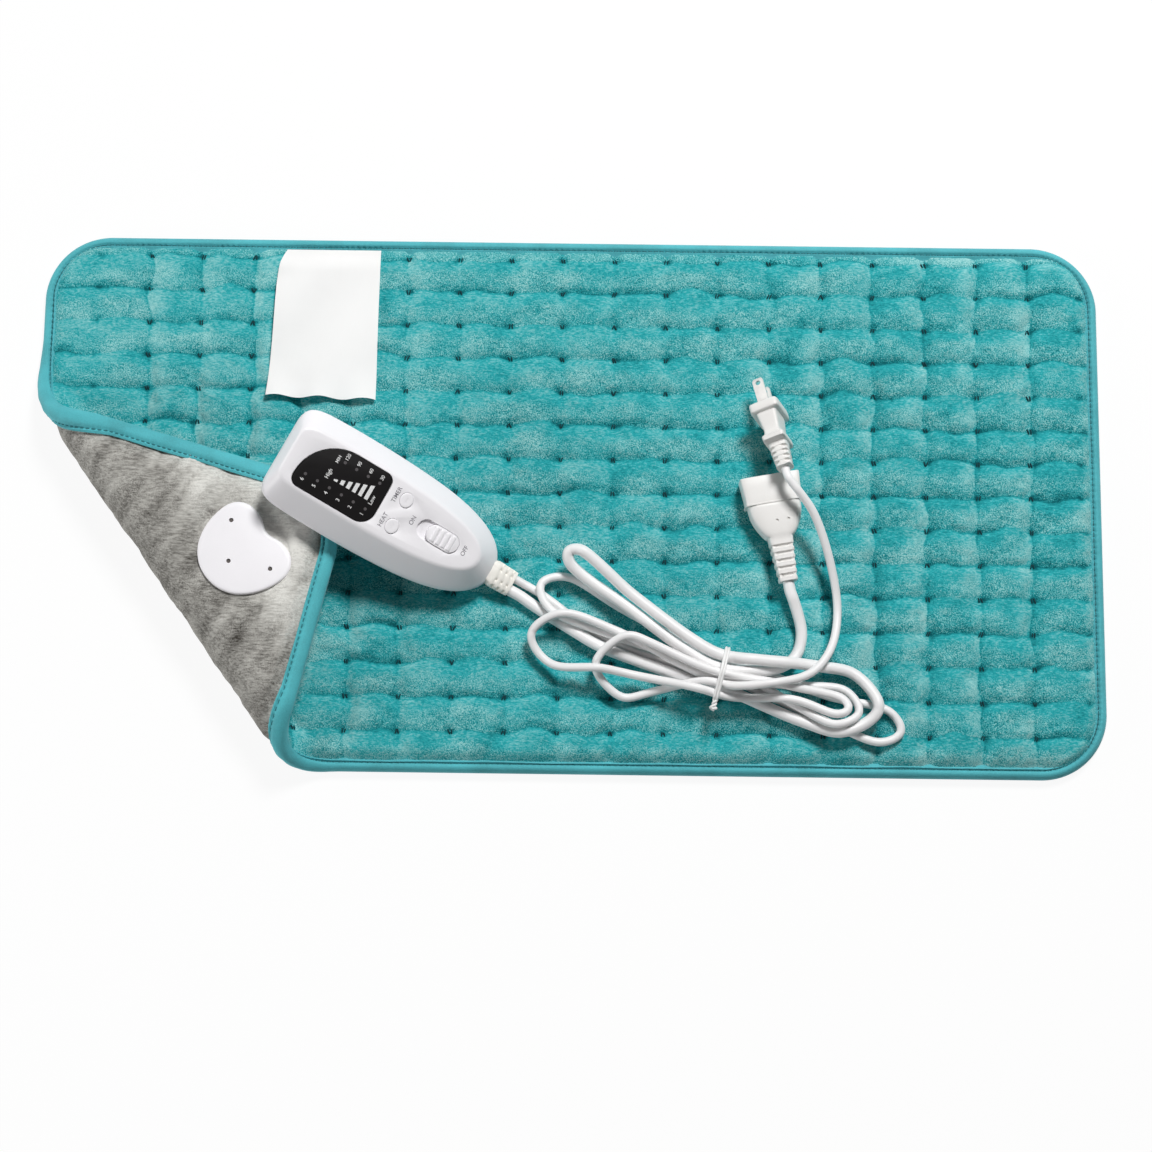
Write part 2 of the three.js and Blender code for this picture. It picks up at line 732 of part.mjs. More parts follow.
// A tube with flat ends through the given points, with no twist along it.
function tube(points, radius, sides) {
  const tangents = points.map((p, i) => {
    const before = points[Math.max(0, i - 1)];
    const after = points[Math.min(points.length - 1, i + 1)];
    return after.clone().sub(before).normalize();
  });
  const side = new THREE.Vector3(0, 0, 1).cross(tangents[0]).normalize();
  const rings = points.map((p, i) => {
    side.addScaledVector(tangents[i], -side.dot(tangents[i])).normalize();
    const up = tangents[i].clone().cross(side);
    return Array.from({ length: sides }, (_, k) => {
      const angle = (2 * Math.PI * (k + 0.5)) / sides;
      const offset = side.clone().multiplyScalar(radius * Math.cos(angle));
      return offset.addScaledVector(up, radius * Math.sin(angle)).add(p);
    });
  });
  return loft(rings);
}

// Heating wire: rows along the pad joined by half turns, with a point wherever it crosses a bend line.
function heatingWire() {
  const turnSteps = 6;
  const flat = [];
  for (let row = 0; row < wireRows; row += 1) {
    const y = (row - (wireRows - 1) / 2) * wireRowPitch;
    const towards = row % 2 === 0 ? 1 : -1;
    flat.push([-towards * (wireHalfSpan - wireRowPitch / 2), y]);
    flat.push([towards * (wireHalfSpan - wireRowPitch / 2), y]);
    for (let i = 1; i < turnSteps && row + 1 < wireRows; i += 1) {
      const angle = (Math.PI * i) / turnSteps - Math.PI / 2;
      const bulge = (wireRowPitch / 2) * Math.cos(angle);
      flat.push([towards * (wireHalfSpan - wireRowPitch / 2 + bulge), y + (wireRowPitch / 2) * (1 + Math.sin(angle))]);
    }
  }
  const route = [];
  flat.forEach(([u, v], i) => {
    route.push([u, v]);
    if (i + 1 === flat.length) {
      return;
    }
    const [nextU, nextV] = flat[i + 1];
    const from = acrossFold(u, v);
    const to = acrossFold(nextU, nextV);
    const length = Math.hypot(nextU - u, nextV - v);
    const crossings = [];
    for (let line = 0; line <= foldFacets; line += 1) {
      crossings.push((length * (line * bendStep - from)) / (to - from));
    }
    crossings.filter((run) => run > 0.5 && run < length - 0.5).sort((a, b) => a - b).forEach((run) => {
      route.push([u + (run / length) * (nextU - u), v + (run / length) * (nextV - v)]);
    });
  });
  return tube(route.map(([u, v]) => folded(u, v, wireHeight)), wireDiameter / 2, 6);
}

// Care label: a thin strip that rises from the binding onto the quilting and ends in a slack wave.
function careLabel() {
  const across = 4;
  const along = 9;
  const start = padWidth / 2 - bindingWidth - seatGap;
  const climb = tackMarginTop;
  const rows = Array.from({ length: along + 1 }, (_, j) => {
    const run = labelLength * (j / along) ** 1.25;
    const rise = Math.min(1, run / climb);
    const base = THREE.MathUtils.lerp(bindingTop, padTop + seatGap, Math.sqrt(rise));
    return Array.from({ length: across + 1 }, (__, i) => {
      const share = (2 * i) / across - 1;
      const half = labelWidth / 2 + (labelFlare * run) / labelLength;
      const wave = labelWave * rise * (1 - Math.cos(2 * Math.PI * (run / labelLength + i / across)));
      return new THREE.Vector3(labelMiddleX + share * half, start - run, base + wave);
    });
  });
  return ribbon(rows, labelThickness);
}

// Socket group: X towards the pad's corner, Z from the back cover through to the front of the flap.
function flapGroup(u, v) {
  const origin = folded(u, v, 0);
  const xAxis = new THREE.Vector3(
    Math.cos(bendAngle) * foldAcross.x,
    Math.cos(bendAngle) * foldAcross.y,
    Math.sin(bendAngle),
  );
  const yAxis = new THREE.Vector3(foldAlong.x, foldAlong.y, 0);
  const group = new THREE.Group();
  const frame = new THREE.Matrix4().makeBasis(xAxis, yAxis, xAxis.clone().cross(yAxis)).setPosition(origin);
  group.applyMatrix4(frame);
  group.rotateZ(radians(socketTurn));
  group.updateMatrix();
  part.add(group);
  return group;
}

// Heart outline, its notch towards +X.
function heartShape(margin) {
  const x = heartLength / 2 - margin;
  const y = heartWidth / 2 - margin;
  const shape = new THREE.Shape();
  shape.moveTo(x - heartNotch, 0);
  shape.bezierCurveTo(x - heartNotch, 0.16 * y, x, 0.22 * y, x, 0.47 * y);
  shape.bezierCurveTo(x, 0.82 * y, 0.75 * x, y, 0.4 * x, y);
  shape.bezierCurveTo(-0.1 * x, y, -0.66 * x, 0.8 * y, -0.87 * x, 0.44 * y);
  shape.bezierCurveTo(-1.04 * x, 0.2 * y, -1.04 * x, -0.2 * y, -0.87 * x, -0.44 * y);
  shape.bezierCurveTo(-0.66 * x, -0.8 * y, -0.1 * x, -y, 0.4 * x, -y);
  shape.bezierCurveTo(0.75 * x, -y, x, -0.82 * y, x, -0.47 * y);
  shape.bezierCurveTo(x, -0.22 * y, x - heartNotch, -0.16 * y, x - heartNotch, 0);
  return shape;
}

const socketGroup = flapGroup(-padLength / 2 + socketFromLeft, -padWidth / 2 + socketFromBottom);
const socketBaseLow = padTop + seatGap;
const socketBaseHigh = socketBaseLow + socketBaseThickness;
const socketPinHeight = socketBaseHigh + socketHoodHeight / 2;
const screwEnd = socketBaseHigh + socketScrewDepth;
const screwBore = socketScrewDiameter / 2 + seatGap;

// A cutter in the socket's frame, moved to the pad's frame.
function throughFlap(geometry) {
  return geometry.clone().applyMatrix4(socketGroup.matrix);
}
const screwHoles = socketScrewPlaces.map(([x, y]) => (
  throughFlap(upright(screwBore + seatGap, x, y, -heartThickness, screwEnd, 6))
));

place('pad_front_cover', cut(frontCover(), ...screwHoles), tealPlush);
place('pad_back_cover', cut(backCover(), ...screwHoles), greyPlush);
place('heater_felt', cut(heaterFelt(), ...screwHoles), felt);
place('heating_wire', heatingWire(), paleSilicone);
place('edge_binding', edgeBinding(), tealTape);
place('care_label', careLabel(), satinWhite);
place('thermal_cutout', box(
  cutoutX - cutoutLength / 2,
  cutoutX + cutoutLength / 2,
  cutoutY - cutoutWidth / 2,
  cutoutY + cutoutWidth / 2,
  feltHigh + seatGap,
  feltHigh + seatGap + cutoutHeight,
), blackPackage);

// Socket: heart plate outside, housing inside, screws that clamp the pad between them.
const plateHoles = socketScrewPlaces.map(([x, y]) => (
  upright(screwBore, x, y, -heartThickness - 2 * seatGap, seatGap, 8)
));
place('socket_back_plate', cut(
  prism(heartShape(0), -seatGap - heartThickness, -seatGap, 5),
  ...plateHoles,
), whitePlastic, socketGroup);

const hoodStart = socketHoodX - socketHoodLength / 2;
const hoodEnd = socketHoodX + socketHoodLength / 2;
const hood = prism(
  roundedRectangle(hoodStart, hoodEnd, -socketHoodWidth / 2, socketHoodWidth / 2, [9, 2, 2, 9]),
  socketBaseLow,
  socketBaseHigh + socketHoodHeight,
  4,
);
const housingBores = socketScrewPlaces.map(([x, y]) => (
  upright(screwBore, x, y, socketBaseLow - seatGap, screwEnd + seatGap, 8)
));
const pinSides = [-1, 1];
const pinBores = pinSides.map((side) => lying(
  socketPinDiameter / 2 + seatGap,
  hoodEnd - socketPinInset - seatGap,
  hoodEnd + seatGap,
  (side * socketPinSpacing) / 2,
  socketPinHeight,
  8,
));
place('socket_housing', cut(
  join(prism(heartShape(1), socketBaseLow, socketBaseHigh, 5), hood),
  ...housingBores,
  ...pinBores,
), whitePlastic, socketGroup);
pinSides.forEach((side, i) => {
  const start = hoodEnd - socketPinInset;
  const y = (side * socketPinSpacing) / 2;
  const pin = lying(socketPinDiameter / 2, start, start + socketPinLength, y, socketPinHeight, 8);
  place(`socket_pin_${i + 1}`, pin, brassMetal, socketGroup);
});
socketScrewPlaces.forEach(([x, y], i) => {
  const start = -seatGap - heartThickness + socketScrewRecess;
  place(`socket_screw_${i + 1}`, upright(socketScrewDiameter / 2, x, y, start, screwEnd, 8), brightMetal, socketGroup);
});

// Controller group: X from the blunt end to the nose, Z up from the underside.
const controller = new THREE.Group();
controller.rotation.set(0, radians(casePitch), radians(caseYaw), 'ZYX');
controller.updateMatrix();
const caseTip = new THREE.Vector3(caseLength, 0, caseSeam).applyMatrix4(controller.matrix);
const noseFoot = new THREE.Vector3(caseLength - caseRest, 0, 0).applyMatrix4(controller.matrix);
controller.position.set(caseTipX - caseTip.x, caseTipY - caseTip.y, padTop + seatGap - noseFoot.z);
controller.updateMatrix();
part.add(controller);

// Half of the case's outline is three curves: a blunt corner, a long flank and a rounded nose.
function caseOutline() {
  const near = caseCurve.map(([x, share]) => [x, -share * caseHalfWidth]);
  const far = near.slice(0, -1).reverse().map(([x, y]) => [x, -y]);
  const all = [...near, ...far];
  const shape = new THREE.Shape();
  shape.moveTo(...all[0]);
  for (let i = 1; i < all.length; i += 3) {
    shape.bezierCurveTo(...all[i], ...all[i + 1], ...all[i + 2]);
  }
  return shape.getPoints(5).slice(0, -1);
}

// The outline at one height, drawn in at the blunt end, the nose and the sides.
function caseRing(z, blunt, nose, sides) {
  const run = (caseLength - blunt - nose) / caseLength;
  const spread = (caseHalfWidth - sides) / caseHalfWidth;
  return caseOutline().map((p) => new THREE.Vector3(blunt + p.x * run, p.y * spread, z));
}

// Insets of the moulded case: a tucked-in foot, upright sides, a broad bevel and a flat top.
const footLevels = [[0, 3, 4, 4], [1.4, 1, 1.4, 1.4], [5, 0.2, 0.3, 0.3]];
const bevelLevels = [[1.6, 0.2, 0.3, 0.3], [3, 0.9, 1.4, 1.4], [12, 4.6, 10.5, 10.3], [13.6, 5.6, 12.4, 11.7]];
const roofInsets = [7.2, 14.4, 13.4];
const windowFloor = caseHeight - windowThickness;
const roofLow = caseHeight - caseWall;

function topShell() {
  const low = caseSeam + seatGap / 2;
  const outer = loft([
    caseRing(low, 0, 0, 0),
    ...bevelLevels.map(([z, ...insets]) => caseRing(caseSeam + z, ...insets)),
    caseRing(caseHeight, ...roofInsets),
  ]);
  const thicken = (insets) => insets.map((inset) => inset + caseWall);
  const inner = loft([
    caseRing(low - seatGap, caseWall, caseWall, caseWall),
    ...bevelLevels.slice(1, 3).map(([z, ...insets]) => caseRing(caseSeam + z - caseWall, ...thicken(insets))),
    caseRing(roofLow, ...thicken(roofInsets)),
  ]);
  const half = sliderSlotWidth / 2;
  const slotEnd = sliderSlotStart + sliderSlotLength;
  const floor = caseHeight - sliderSlotDepth;
  const pocketLow = floor - caseWall / 2;
  const pocket = prism(
    roundedRectangle(sliderSlotStart - 1, slotEnd + 1, -half - 1, half + 1, half),
    pocketLow,
    roofLow + caseWall / 2,
    4,
  );
  const slot = prism(roundedRectangle(sliderSlotStart, slotEnd, -half, half, half - 0.1), floor, caseHeight + 1, 6);
  const slit = box(
    stemStart - sliderTravel - buttonGap,
    stemStart + sliderStemLength + buttonGap,
    -sliderStemWidth / 2 - buttonGap,
    sliderStemWidth / 2 + buttonGap,
    pocketLow - 1,
    floor + 1,
  );
  const seat = prism(windowShape(-seatGap), windowFloor - seatGap, caseHeight + 1, 5);
  const lights = prism(windowShape(windowLedge), roofLow - 1, caseHeight, 5);
  const holes = buttonSides.map((side) => prism(
    ellipse(buttonX, (side * buttonSpacing) / 2, buttonLength / 2 + buttonGap, buttonWidth / 2 + buttonGap),
    roofLow - 1,
    caseHeight + 1,
    7,
  ));
  const bosses = caseScrewPlaces.map(([x, y]) => (
    common(upright(postRadius, x, y, bossLow, caseHeight, 10), outer)
  ));
  const threads = caseScrewPlaces.map(([x, y]) => (
    upright(caseScrewDiameter / 2 + seatGap, x, y, bossLow - 1, bossLow + screwThreadLength + seatGap, 8)
  ));
  const notch = box(caseLength - 12, caseLength + 2, -neckHalf, neckHalf, low - 1, neckTop);
  return cut(join(cut(outer, inner), pocket, ...bosses), slot, slit, seat, lights, ...holes, ...threads, notch);
}

function bottomShell() {
  const top = caseSeam - seatGap / 2;
  const outer = loft([
    ...footLevels.map(([z, ...insets]) => caseRing(z, ...insets)),
    caseRing(top, 0, 0, 0),
  ]);
  const inner = loft([
    caseRing(caseWall, caseWall + 1.4, caseWall + 2, caseWall + 2),
    caseRing(caseWall + 3, caseWall + 0.2, caseWall + 0.3, caseWall + 0.3),
    caseRing(top + 1, caseWall, caseWall, caseWall),
  ]);
  const posts = caseScrewPlaces.map(([x, y]) => upright(postRadius, x, y, caseWall - 0.5, postHigh, 10));
  const shafts = caseScrewPlaces.map(([x, y]) => (
    upright(caseScrewDiameter / 2 + seatGap, x, y, -1, postHigh + 1, 8)
  ));
  const heads = caseScrewPlaces.map(([x, y]) => (
    upright(caseScrewHeadDiameter / 2 + seatGap, x, y, -1, screwHeadTop + seatGap, 12)
  ));
  const notch = box(caseLength - 12, caseLength + 2, -neckHalf, neckHalf, neckLow, top + 1);
  return cut(join(cut(outer, inner), ...posts), ...shafts, ...heads, notch);
}

// The window: a leaf with one broad corner.
function windowShape(margin) {
  const radii = windowRadii.map((radius) => radius - margin);
  return roundedRectangle(
    windowStart + margin,
    windowEnd - margin,
    -windowHalfWidth + margin,
    windowHalfWidth - margin,
    radii,
  );
}

const buttonSides = [-1, 1];
const sliderTravel = sliderSlotLength - sliderKnobLength - 2 * buttonGap;
const knobStart = sliderSlotStart + sliderSlotLength - buttonGap - sliderKnobLength;
const stemStart = knobStart + (sliderKnobLength - sliderStemLength) / 2;
const flangeTop = roofLow - seatGap;
const flangeLow = flangeTop - buttonFlangeThickness;
const boardTop = boardHeight + boardThickness;
const postHigh = boardHeight - seatGap;
const bossLow = boardTop + seatGap;
const neckHalf = reliefNeckWidth / 2 + seatGap;
const neckLow = caseSeam - reliefNeckHeight / 2 - seatGap;
const neckTop = caseSeam + reliefNeckHeight / 2 + seatGap;

place('controller_top_shell', topShell(), whitePlastic, controller);
place('controller_bottom_shell', bottomShell(), whitePlastic, controller);
place('display_window', prism(windowShape(0), windowFloor, caseHeight, 6), darkWindow, controller);

// A button: a domed cap on a flange that the roof holds down.
function button(side) {
  const y = (side * buttonSpacing) / 2;
  const ring = (z, drawIn) => Array.from({ length: 20 }, (_, i) => {
    const angle = (2 * Math.PI * i) / 20;
    return new THREE.Vector3(
      buttonX + (buttonLength / 2 - drawIn) * Math.cos(angle),
      y + (buttonWidth / 2 - drawIn) * Math.sin(angle),
      z,
    );
  });
  return loft([
    ring(flangeLow, -buttonFlange),
    ring(flangeTop, -buttonFlange),
    ring(flangeTop, 0),
    ring(caseHeight + buttonProud - 0.35, 0),
    ring(caseHeight + buttonProud - 0.1, 0.35),
    ring(caseHeight + buttonProud, 1.1),
  ]);
}
place('heat_button', button(-1), whitePlastic, controller);
place('timer_button', button(1), whitePlastic, controller);

// The slider: a ribbed knob in its slot, with a stem into the switch.
function slider() {
  const floor = caseHeight - sliderSlotDepth + seatGap;
  const half = sliderSlotWidth / 2 - buttonGap;
  const knobTop = caseHeight + sliderKnobProud - sliderRibHeight;
  const end = knobStart + sliderKnobLength;
  const body = prism(roundedRectangle(knobStart, end, -half, half, half - 0.1), floor, knobTop, 6);
  const pitch = (sliderKnobLength - 2 * half * 0.55) / sliderRibs;
  const ribs = Array.from({ length: sliderRibs }, (_, i) => {
    const x = knobStart + sliderKnobLength / 2 + (i - (sliderRibs - 1) / 2) * pitch;
    const reach = half - 0.9;
    return box(x - 0.32 * pitch, x + 0.32 * pitch, -reach, reach, knobTop - 0.5, knobTop + sliderRibHeight);
  });
  const stem = box(
    stemStart,
    stemStart + sliderStemLength,
    -sliderStemWidth / 2,
    sliderStemWidth / 2,
    switchTop - powerSwitchGroove + seatGap,
    floor + 0.5,
  );
  return join(body, ...ribs, stem);
}

// Circuit board and what stands on it.
const switchLow = boardTop + seatGap;
const switchTop = switchLow + powerSwitchHeight;
place('power_slider', slider(), whitePlastic, controller);

const switchMiddle = stemStart + sliderStemLength / 2 - sliderTravel / 2;
place('power_switch', cut(
  box(
    switchMiddle - powerSwitchLength / 2,
    switchMiddle + powerSwitchLength / 2,
    -powerSwitchWidth / 2,
    powerSwitchWidth / 2,
    switchLow,
    switchTop,
  ),
  box(
    stemStart - sliderTravel - buttonGap,
    stemStart + sliderStemLength + buttonGap,
    -sliderStemWidth / 2 - buttonGap,
    sliderStemWidth / 2 + buttonGap,
    switchTop - powerSwitchGroove,
    switchTop + 1,
  ),
), blackPackage, controller);

const boardRing = (z) => caseRing(z, boardInset, boardNoseInset, boardSideInset);
const boardScrewHoles = caseScrewPlaces.map(([x, y]) => (
  upright(caseScrewDiameter / 2 + seatGap, x, y, boardHeight - 1, boardTop + 1, 8)
));
place('circuit_board', cut(
  loft([boardRing(boardHeight), boardRing(boardTop)]),
  ...boardScrewHoles,
), greenBoard, controller);

['heat', 'timer'].forEach((name, i) => {
  const y = (buttonSides[i] * buttonSpacing) / 2;
  const half = tactSize / 2;
  const body = box(buttonX - half, buttonX + half, y - half, y + half, switchLow, switchLow + tactBodyHeight);
  const plunger = upright(tactSize / 4, buttonX, y, switchLow, flangeLow - buttonTravel - seatGap, 10);
  place(`${name}_tact_switch`, join(body, plunger), blackPackage, controller);
});

// Lights in a row along each long side of the window.
function lightRow(name, count, firstX, lastX, y) {
  for (let i = 0; i < count; i += 1) {
    const x = firstX + (i * (lastX - firstX)) / (count - 1);
    const light = upright(lightDiameter / 2, x, y, switchLow, windowFloor - 2 * seatGap, 8);
    place(`${name}_light_${i + 1}`, light, clearLight, controller);
  }
}
lightRow('heat', heatLightCount, windowStart + heatLightMargin, windowEnd - heatLightMargin,
  -windowHalfWidth + heatLightSide);
lightRow('timer', timerLightCount, windowStart + timerLightStart, windowEnd - lightMarginSide,
  windowHalfWidth - lightMarginSide);

const underBoard = boardHeight - seatGap;
function hangingBox({ x, y, length, width, height }) {
  return box(x - length / 2, x + length / 2, y - width / 2, y + width / 2, underBoard - height, underBoard);
}
place('microcontroller', hangingBox(microcontroller), blackPackage, controller);
place('triac', hangingBox(triac), blackPackage, controller);
place('fuse', lying(
  fuse.radius,
  fuse.x - fuse.length / 2,
  fuse.x + fuse.length / 2,
  fuse.y,
  underBoard - fuse.radius,
  10,
), clearLight, controller);
place('capacitor', upright(
  capacitor.radius,
  capacitor.x,
  capacitor.y,
  underBoard - capacitor.height,
  underBoard,
  14,
), blackPackage, controller);

caseScrewPlaces.forEach(([x, y], i) => {
  const head = upright(caseScrewHeadDiameter / 2, x, y, screwHeadRecess, screwHeadTop, 12);
  const shaft = upright(caseScrewDiameter / 2, x, y, screwHeadTop - 0.4, bossLow + screwThreadLength, 8);
  place(`case_screw_${i + 1}`, join(head, shaft), brightMetal, controller);
});

// Strain relief: a ribbed boot outside, a neck between the shells and a flange inside.
const reliefStart = caseLength + seatGap;
const reliefEnd = reliefStart + reliefLength;
const boot = loft(ribbedRings(
  reliefStart,
  reliefEnd,
  reliefRibs,
  [reliefWidth / 2, reliefHeight / 2],
  [reliefWidth / 2 - 0.9, reliefHeight / 2 - 0.4],
  reliefRibDepth,
  3,
)).translate(0, 0, caseSeam);
const neckStart = caseLength - reliefNeckLength;
const neck = box(
  neckStart,
  reliefStart + 1,
  -reliefNeckWidth / 2,
  reliefNeckWidth / 2,
  caseSeam - reliefNeckHeight / 2,
  caseSeam + reliefNeckHeight / 2,
);
const flange = box(
  neckStart - reliefFlange,
  neckStart,
  -reliefNeckWidth / 2 - reliefFlange,
  reliefNeckWidth / 2 + reliefFlange,
  caseSeam - reliefNeckHeight / 2 - reliefFlange,
  caseSeam + reliefNeckHeight / 2 + reliefFlange,
);
place('strain_relief', join(boot, neck, flange), creamRubber, controller);

// Mains plug: X from the cord's end to the blades' tips, Y across the row of blades.
const plug = new THREE.Group();
plug.rotation.set(radians(plugRoll), radians(plugPitch), radians(plugYaw), 'ZYX');
plug.position.set(plugX, plugY, plugZ);
plug.updateMatrix();
part.add(plug);

const plugFront = plugReliefLength + plugBodyLength;
const plugHalf = [plugFrontWidth / 2, plugFrontDepth / 2];
const plugWaistHalf = plugHalf.map((half) => half - plugWaist);
const plugReliefEndHalf = plugReliefHalf.map((half) => half + 1);
const plugRing = (x, halves, squareness) => ovalRing(x, ...halves, squareness);
const plugBody = loft([
  ...ribbedRings(0, plugReliefLength, plugReliefRibs, plugReliefHalf, plugReliefEndHalf, 0.9, 3),
  plugRing(plugReliefLength, plugReliefEndHalf, 3),
  plugRing(plugReliefLength + 0.4, plugWaistHalf, 5),
  plugRing(plugReliefLength + 2.6, plugWaistHalf.map((half) => half + 0.8), 5),
  plugRing(plugReliefLength + 4, plugWaistHalf.map((half) => half - 0.5), 4),
  plugRing(plugFront - plugFlange - 4, plugWaistHalf.map((half) => half - 0.2), 4),
  plugRing(plugFront - plugFlange, plugHalf.map((half) => half - 0.6), 5),
  plugRing(plugFront - plugFlange + 1, plugHalf, 6),
  plugRing(plugFront - 0.6, plugHalf, 6),
  plugRing(plugFront, plugHalf.map((half) => half - 0.6), 6),
]);

// A blade with a narrowed tip and a hole.
function blade(y, margin) {
  const ring = (x, halfThickness, halfWidth) => [[1, 1], [-1, 1], [-1, -1], [1, -1]].map(([side, up]) => (
    new THREE.Vector3(x, y + side * (halfThickness + margin), up * (halfWidth + margin))
  ));
  const end = plugFront + bladeLength;
  return loft([
    ring(plugFront - bladeRoot - margin, bladeThickness / 2, bladeWidth / 2),
    ring(end - 1.5, bladeThickness / 2, bladeWidth / 2),
    ring(end, bladeThickness / 4, bladeWidth / 2 - 1),
  ]);
}
const bladeRows = [-bladeSpacing / 2, bladeSpacing / 2];
place('mains_plug_body', cut(plugBody, ...bladeRows.map((y) => blade(y, seatGap))), whiteRubber, plug);
bladeRows.forEach((y, i) => {
  const hole = new THREE.CylinderGeometry(bladeHole / 2, bladeHole / 2, 3 * bladeThickness, 10);
  hole.translate(plugFront + bladeLength - bladeHole, y, 0);
  place(`plug_blade_${i + 1}`, cut(blade(y, 0), hole), brightMetal, plug);
});

// Detachable connector: X from the cord's end to the mouth.
const connector = new THREE.Group();
connector.rotation.z = radians(connectorYaw);
connector.position.set(connectorX, connectorY, padTop + seatGap + connectorHeight / 2);
connector.updateMatrix();
part.add(connector);

const connectorWaist = connectorReliefLength + connectorBodyLength;
const connectorFront = connectorWaist + connectorShroudLength;
const connectorHalf = [connectorWidth / 2, connectorHeight / 2];
const connectorReliefEndHalf = connectorReliefHalf.map((half) => half + 1.6);
const connectorRing = (x, share, thickness, squareness) => (
  ovalRing(x, share * connectorHalf[0], thickness * connectorHalf[1], squareness)
);
const mouthFloor = connectorFront - connectorMouthDepth;
const connectorShell = loft([
  ...ribbedRings(0, connectorReliefLength, connectorReliefRibs, connectorReliefHalf, connectorReliefEndHalf, 1, 3),
  ovalRing(connectorReliefLength, ...connectorReliefEndHalf, 3),
  connectorRing(connectorReliefLength + 1, 0.5, 0.86, 3),
  connectorRing(connectorReliefLength + 5, 0.68, 0.93, 3),
  connectorRing(connectorReliefLength + 12, 0.81, 0.97, 3),
  connectorRing(connectorWaist - 1.6, 0.85, 0.97, 4),
  connectorRing(connectorWaist - 1.2, 0.91, 1, 5),
  connectorRing(connectorWaist, 0.91, 1, 5),
  connectorRing(connectorWaist + 0.4, 0.87, 0.95, 6),
  connectorRing(connectorFront - 3, 1, 1, 7),
  connectorRing(connectorFront, 1, 1, 7),
]);
const mouth = loft([
  ovalRing(mouthFloor, connectorHalf[0] - 1.6 * connectorWall, connectorHalf[1] - connectorWall, 7),
  ovalRing(connectorFront - 3, connectorHalf[0] - connectorWall, connectorHalf[1] - connectorWall, 7),
  ovalRing(connectorFront + 1, connectorHalf[0] - connectorWall, connectorHalf[1] - connectorWall, 7),
]);
const sleeveBores = pinSides.map((side) => lying(
  sleeveDiameter / 2 + seatGap,
  mouthFloor - sleeveLength - seatGap,
  mouthFloor + 1,
  (side * socketPinSpacing) / 2,
  0,
  12,
));
place('connector_body', cut(connectorShell, mouth, ...sleeveBores), whiteRubber, connector);
pinSides.forEach((side, i) => {
  const y = (side * socketPinSpacing) / 2;
  const shell = lying(sleeveDiameter / 2, mouthFloor - sleeveLength, mouthFloor, y, 0, 12);
  const bore = lying(socketPinDiameter / 2 + seatGap, mouthFloor - sleeveLength + 1, mouthFloor + 1, y, 0, 8);
  place(`connector_sleeve_${i + 1}`, cut(shell, bore), brassMetal, connector);
});

// Where strands lie at the tie, and the points of each loop, in plan.
const tieDirection = new THREE.Vector2(Math.cos(radians(tieAngle)), Math.sin(radians(tieAngle)));
const tieAcross = new THREE.Vector2(-tieDirection.y, tieDirection.x);
const tieMiddle = new THREE.Vector2(tieX, tieY);

function tieSlot(offset, towards) {
  const middle = tieMiddle.clone().addScaledVector(tieAcross, offset);
  return [-towards, towards].map((end) => middle.clone().addScaledVector(tieDirection, (end * tieLength) / 2));
}

// A loop as five points, run anticlockwise: flank, shoulder, tip, shoulder, flank.
function loopPoints({ reach, bearing, half, flank }) {
  const axis = new THREE.Vector2(Math.cos(radians(bearing)), Math.sin(radians(bearing)));
  const left = new THREE.Vector2(-axis.y, axis.x);
  const at = (run, offset) => tieMiddle.clone().addScaledVector(axis, run).addScaledVector(left, offset);
  return [
    at(0.58 * reach, -flank * half),
    at(reach - half, -half),
    at(reach, 0),
    at(reach - half, half),
    at(0.58 * reach, flank * half),
  ];
}

// A cord's plan: its lead, then loops right and left of the tie by turns, then its tail.
// A pass runs from the tip of one loop, through the tie, to the tip of the next.
function cordPlan({ lead, loops, slots, tail }) {
  const places = lead.map((p) => ({ p, pass: 0 }));
  slots.forEach((offset, pass) => {
    const towards = pass % 2 === 0 ? 1 : -1;
    tieSlot(offset, towards).forEach((p) => places.push({ p, pass }));
    if (pass < loops.length) {
      loopPoints(loops[pass]).forEach((p, i) => places.push({ p, pass: i < 3 ? pass : pass + 1 }));
    }
  });
  tail.forEach((p) => places.push({ p, pass: slots.length - 1 }));
  return places;
}

// Close points along the plan, each with its pass and its distance from the start.
function samplePlan(places) {
  const curve = new THREE.CatmullRomCurve3(places.map(({ p }) => new THREE.Vector3(p.x, p.y, 0)));
  const samples = [];
  places.slice(0, -1).forEach((from, i) => {
    const next = places[i + 1];
    const steps = Math.ceil(from.p.distanceTo(next.p) / sampleStep);
    for (let k = 0; k < steps; k += 1) {
      const position = curve.getPoint((i + k / steps) / (places.length - 1));
      samples.push({ position, pass: next.pass });
    }
  });
  samples.push({ position: curve.getPoint(1), pass: places.at(-1).pass });
  samples.forEach((sample, i) => {
    sample.run = i ? samples[i - 1].run + sample.position.distanceTo(samples[i - 1].position) : 0;
  });
  return samples;
}

// Height of a line of pins at a distance, or nothing outside them.
function pinnedHeight(pins, distance) {
  const next = pins.findIndex(([run]) => run > distance);
  if (next < 1) {
    return 0;
  }
  const [run, height] = pins[next - 1];
  const [nextRun, nextHeight] = pins[next];
  return THREE.MathUtils.lerp(height, nextHeight, (distance - run) / (nextRun - run));
}

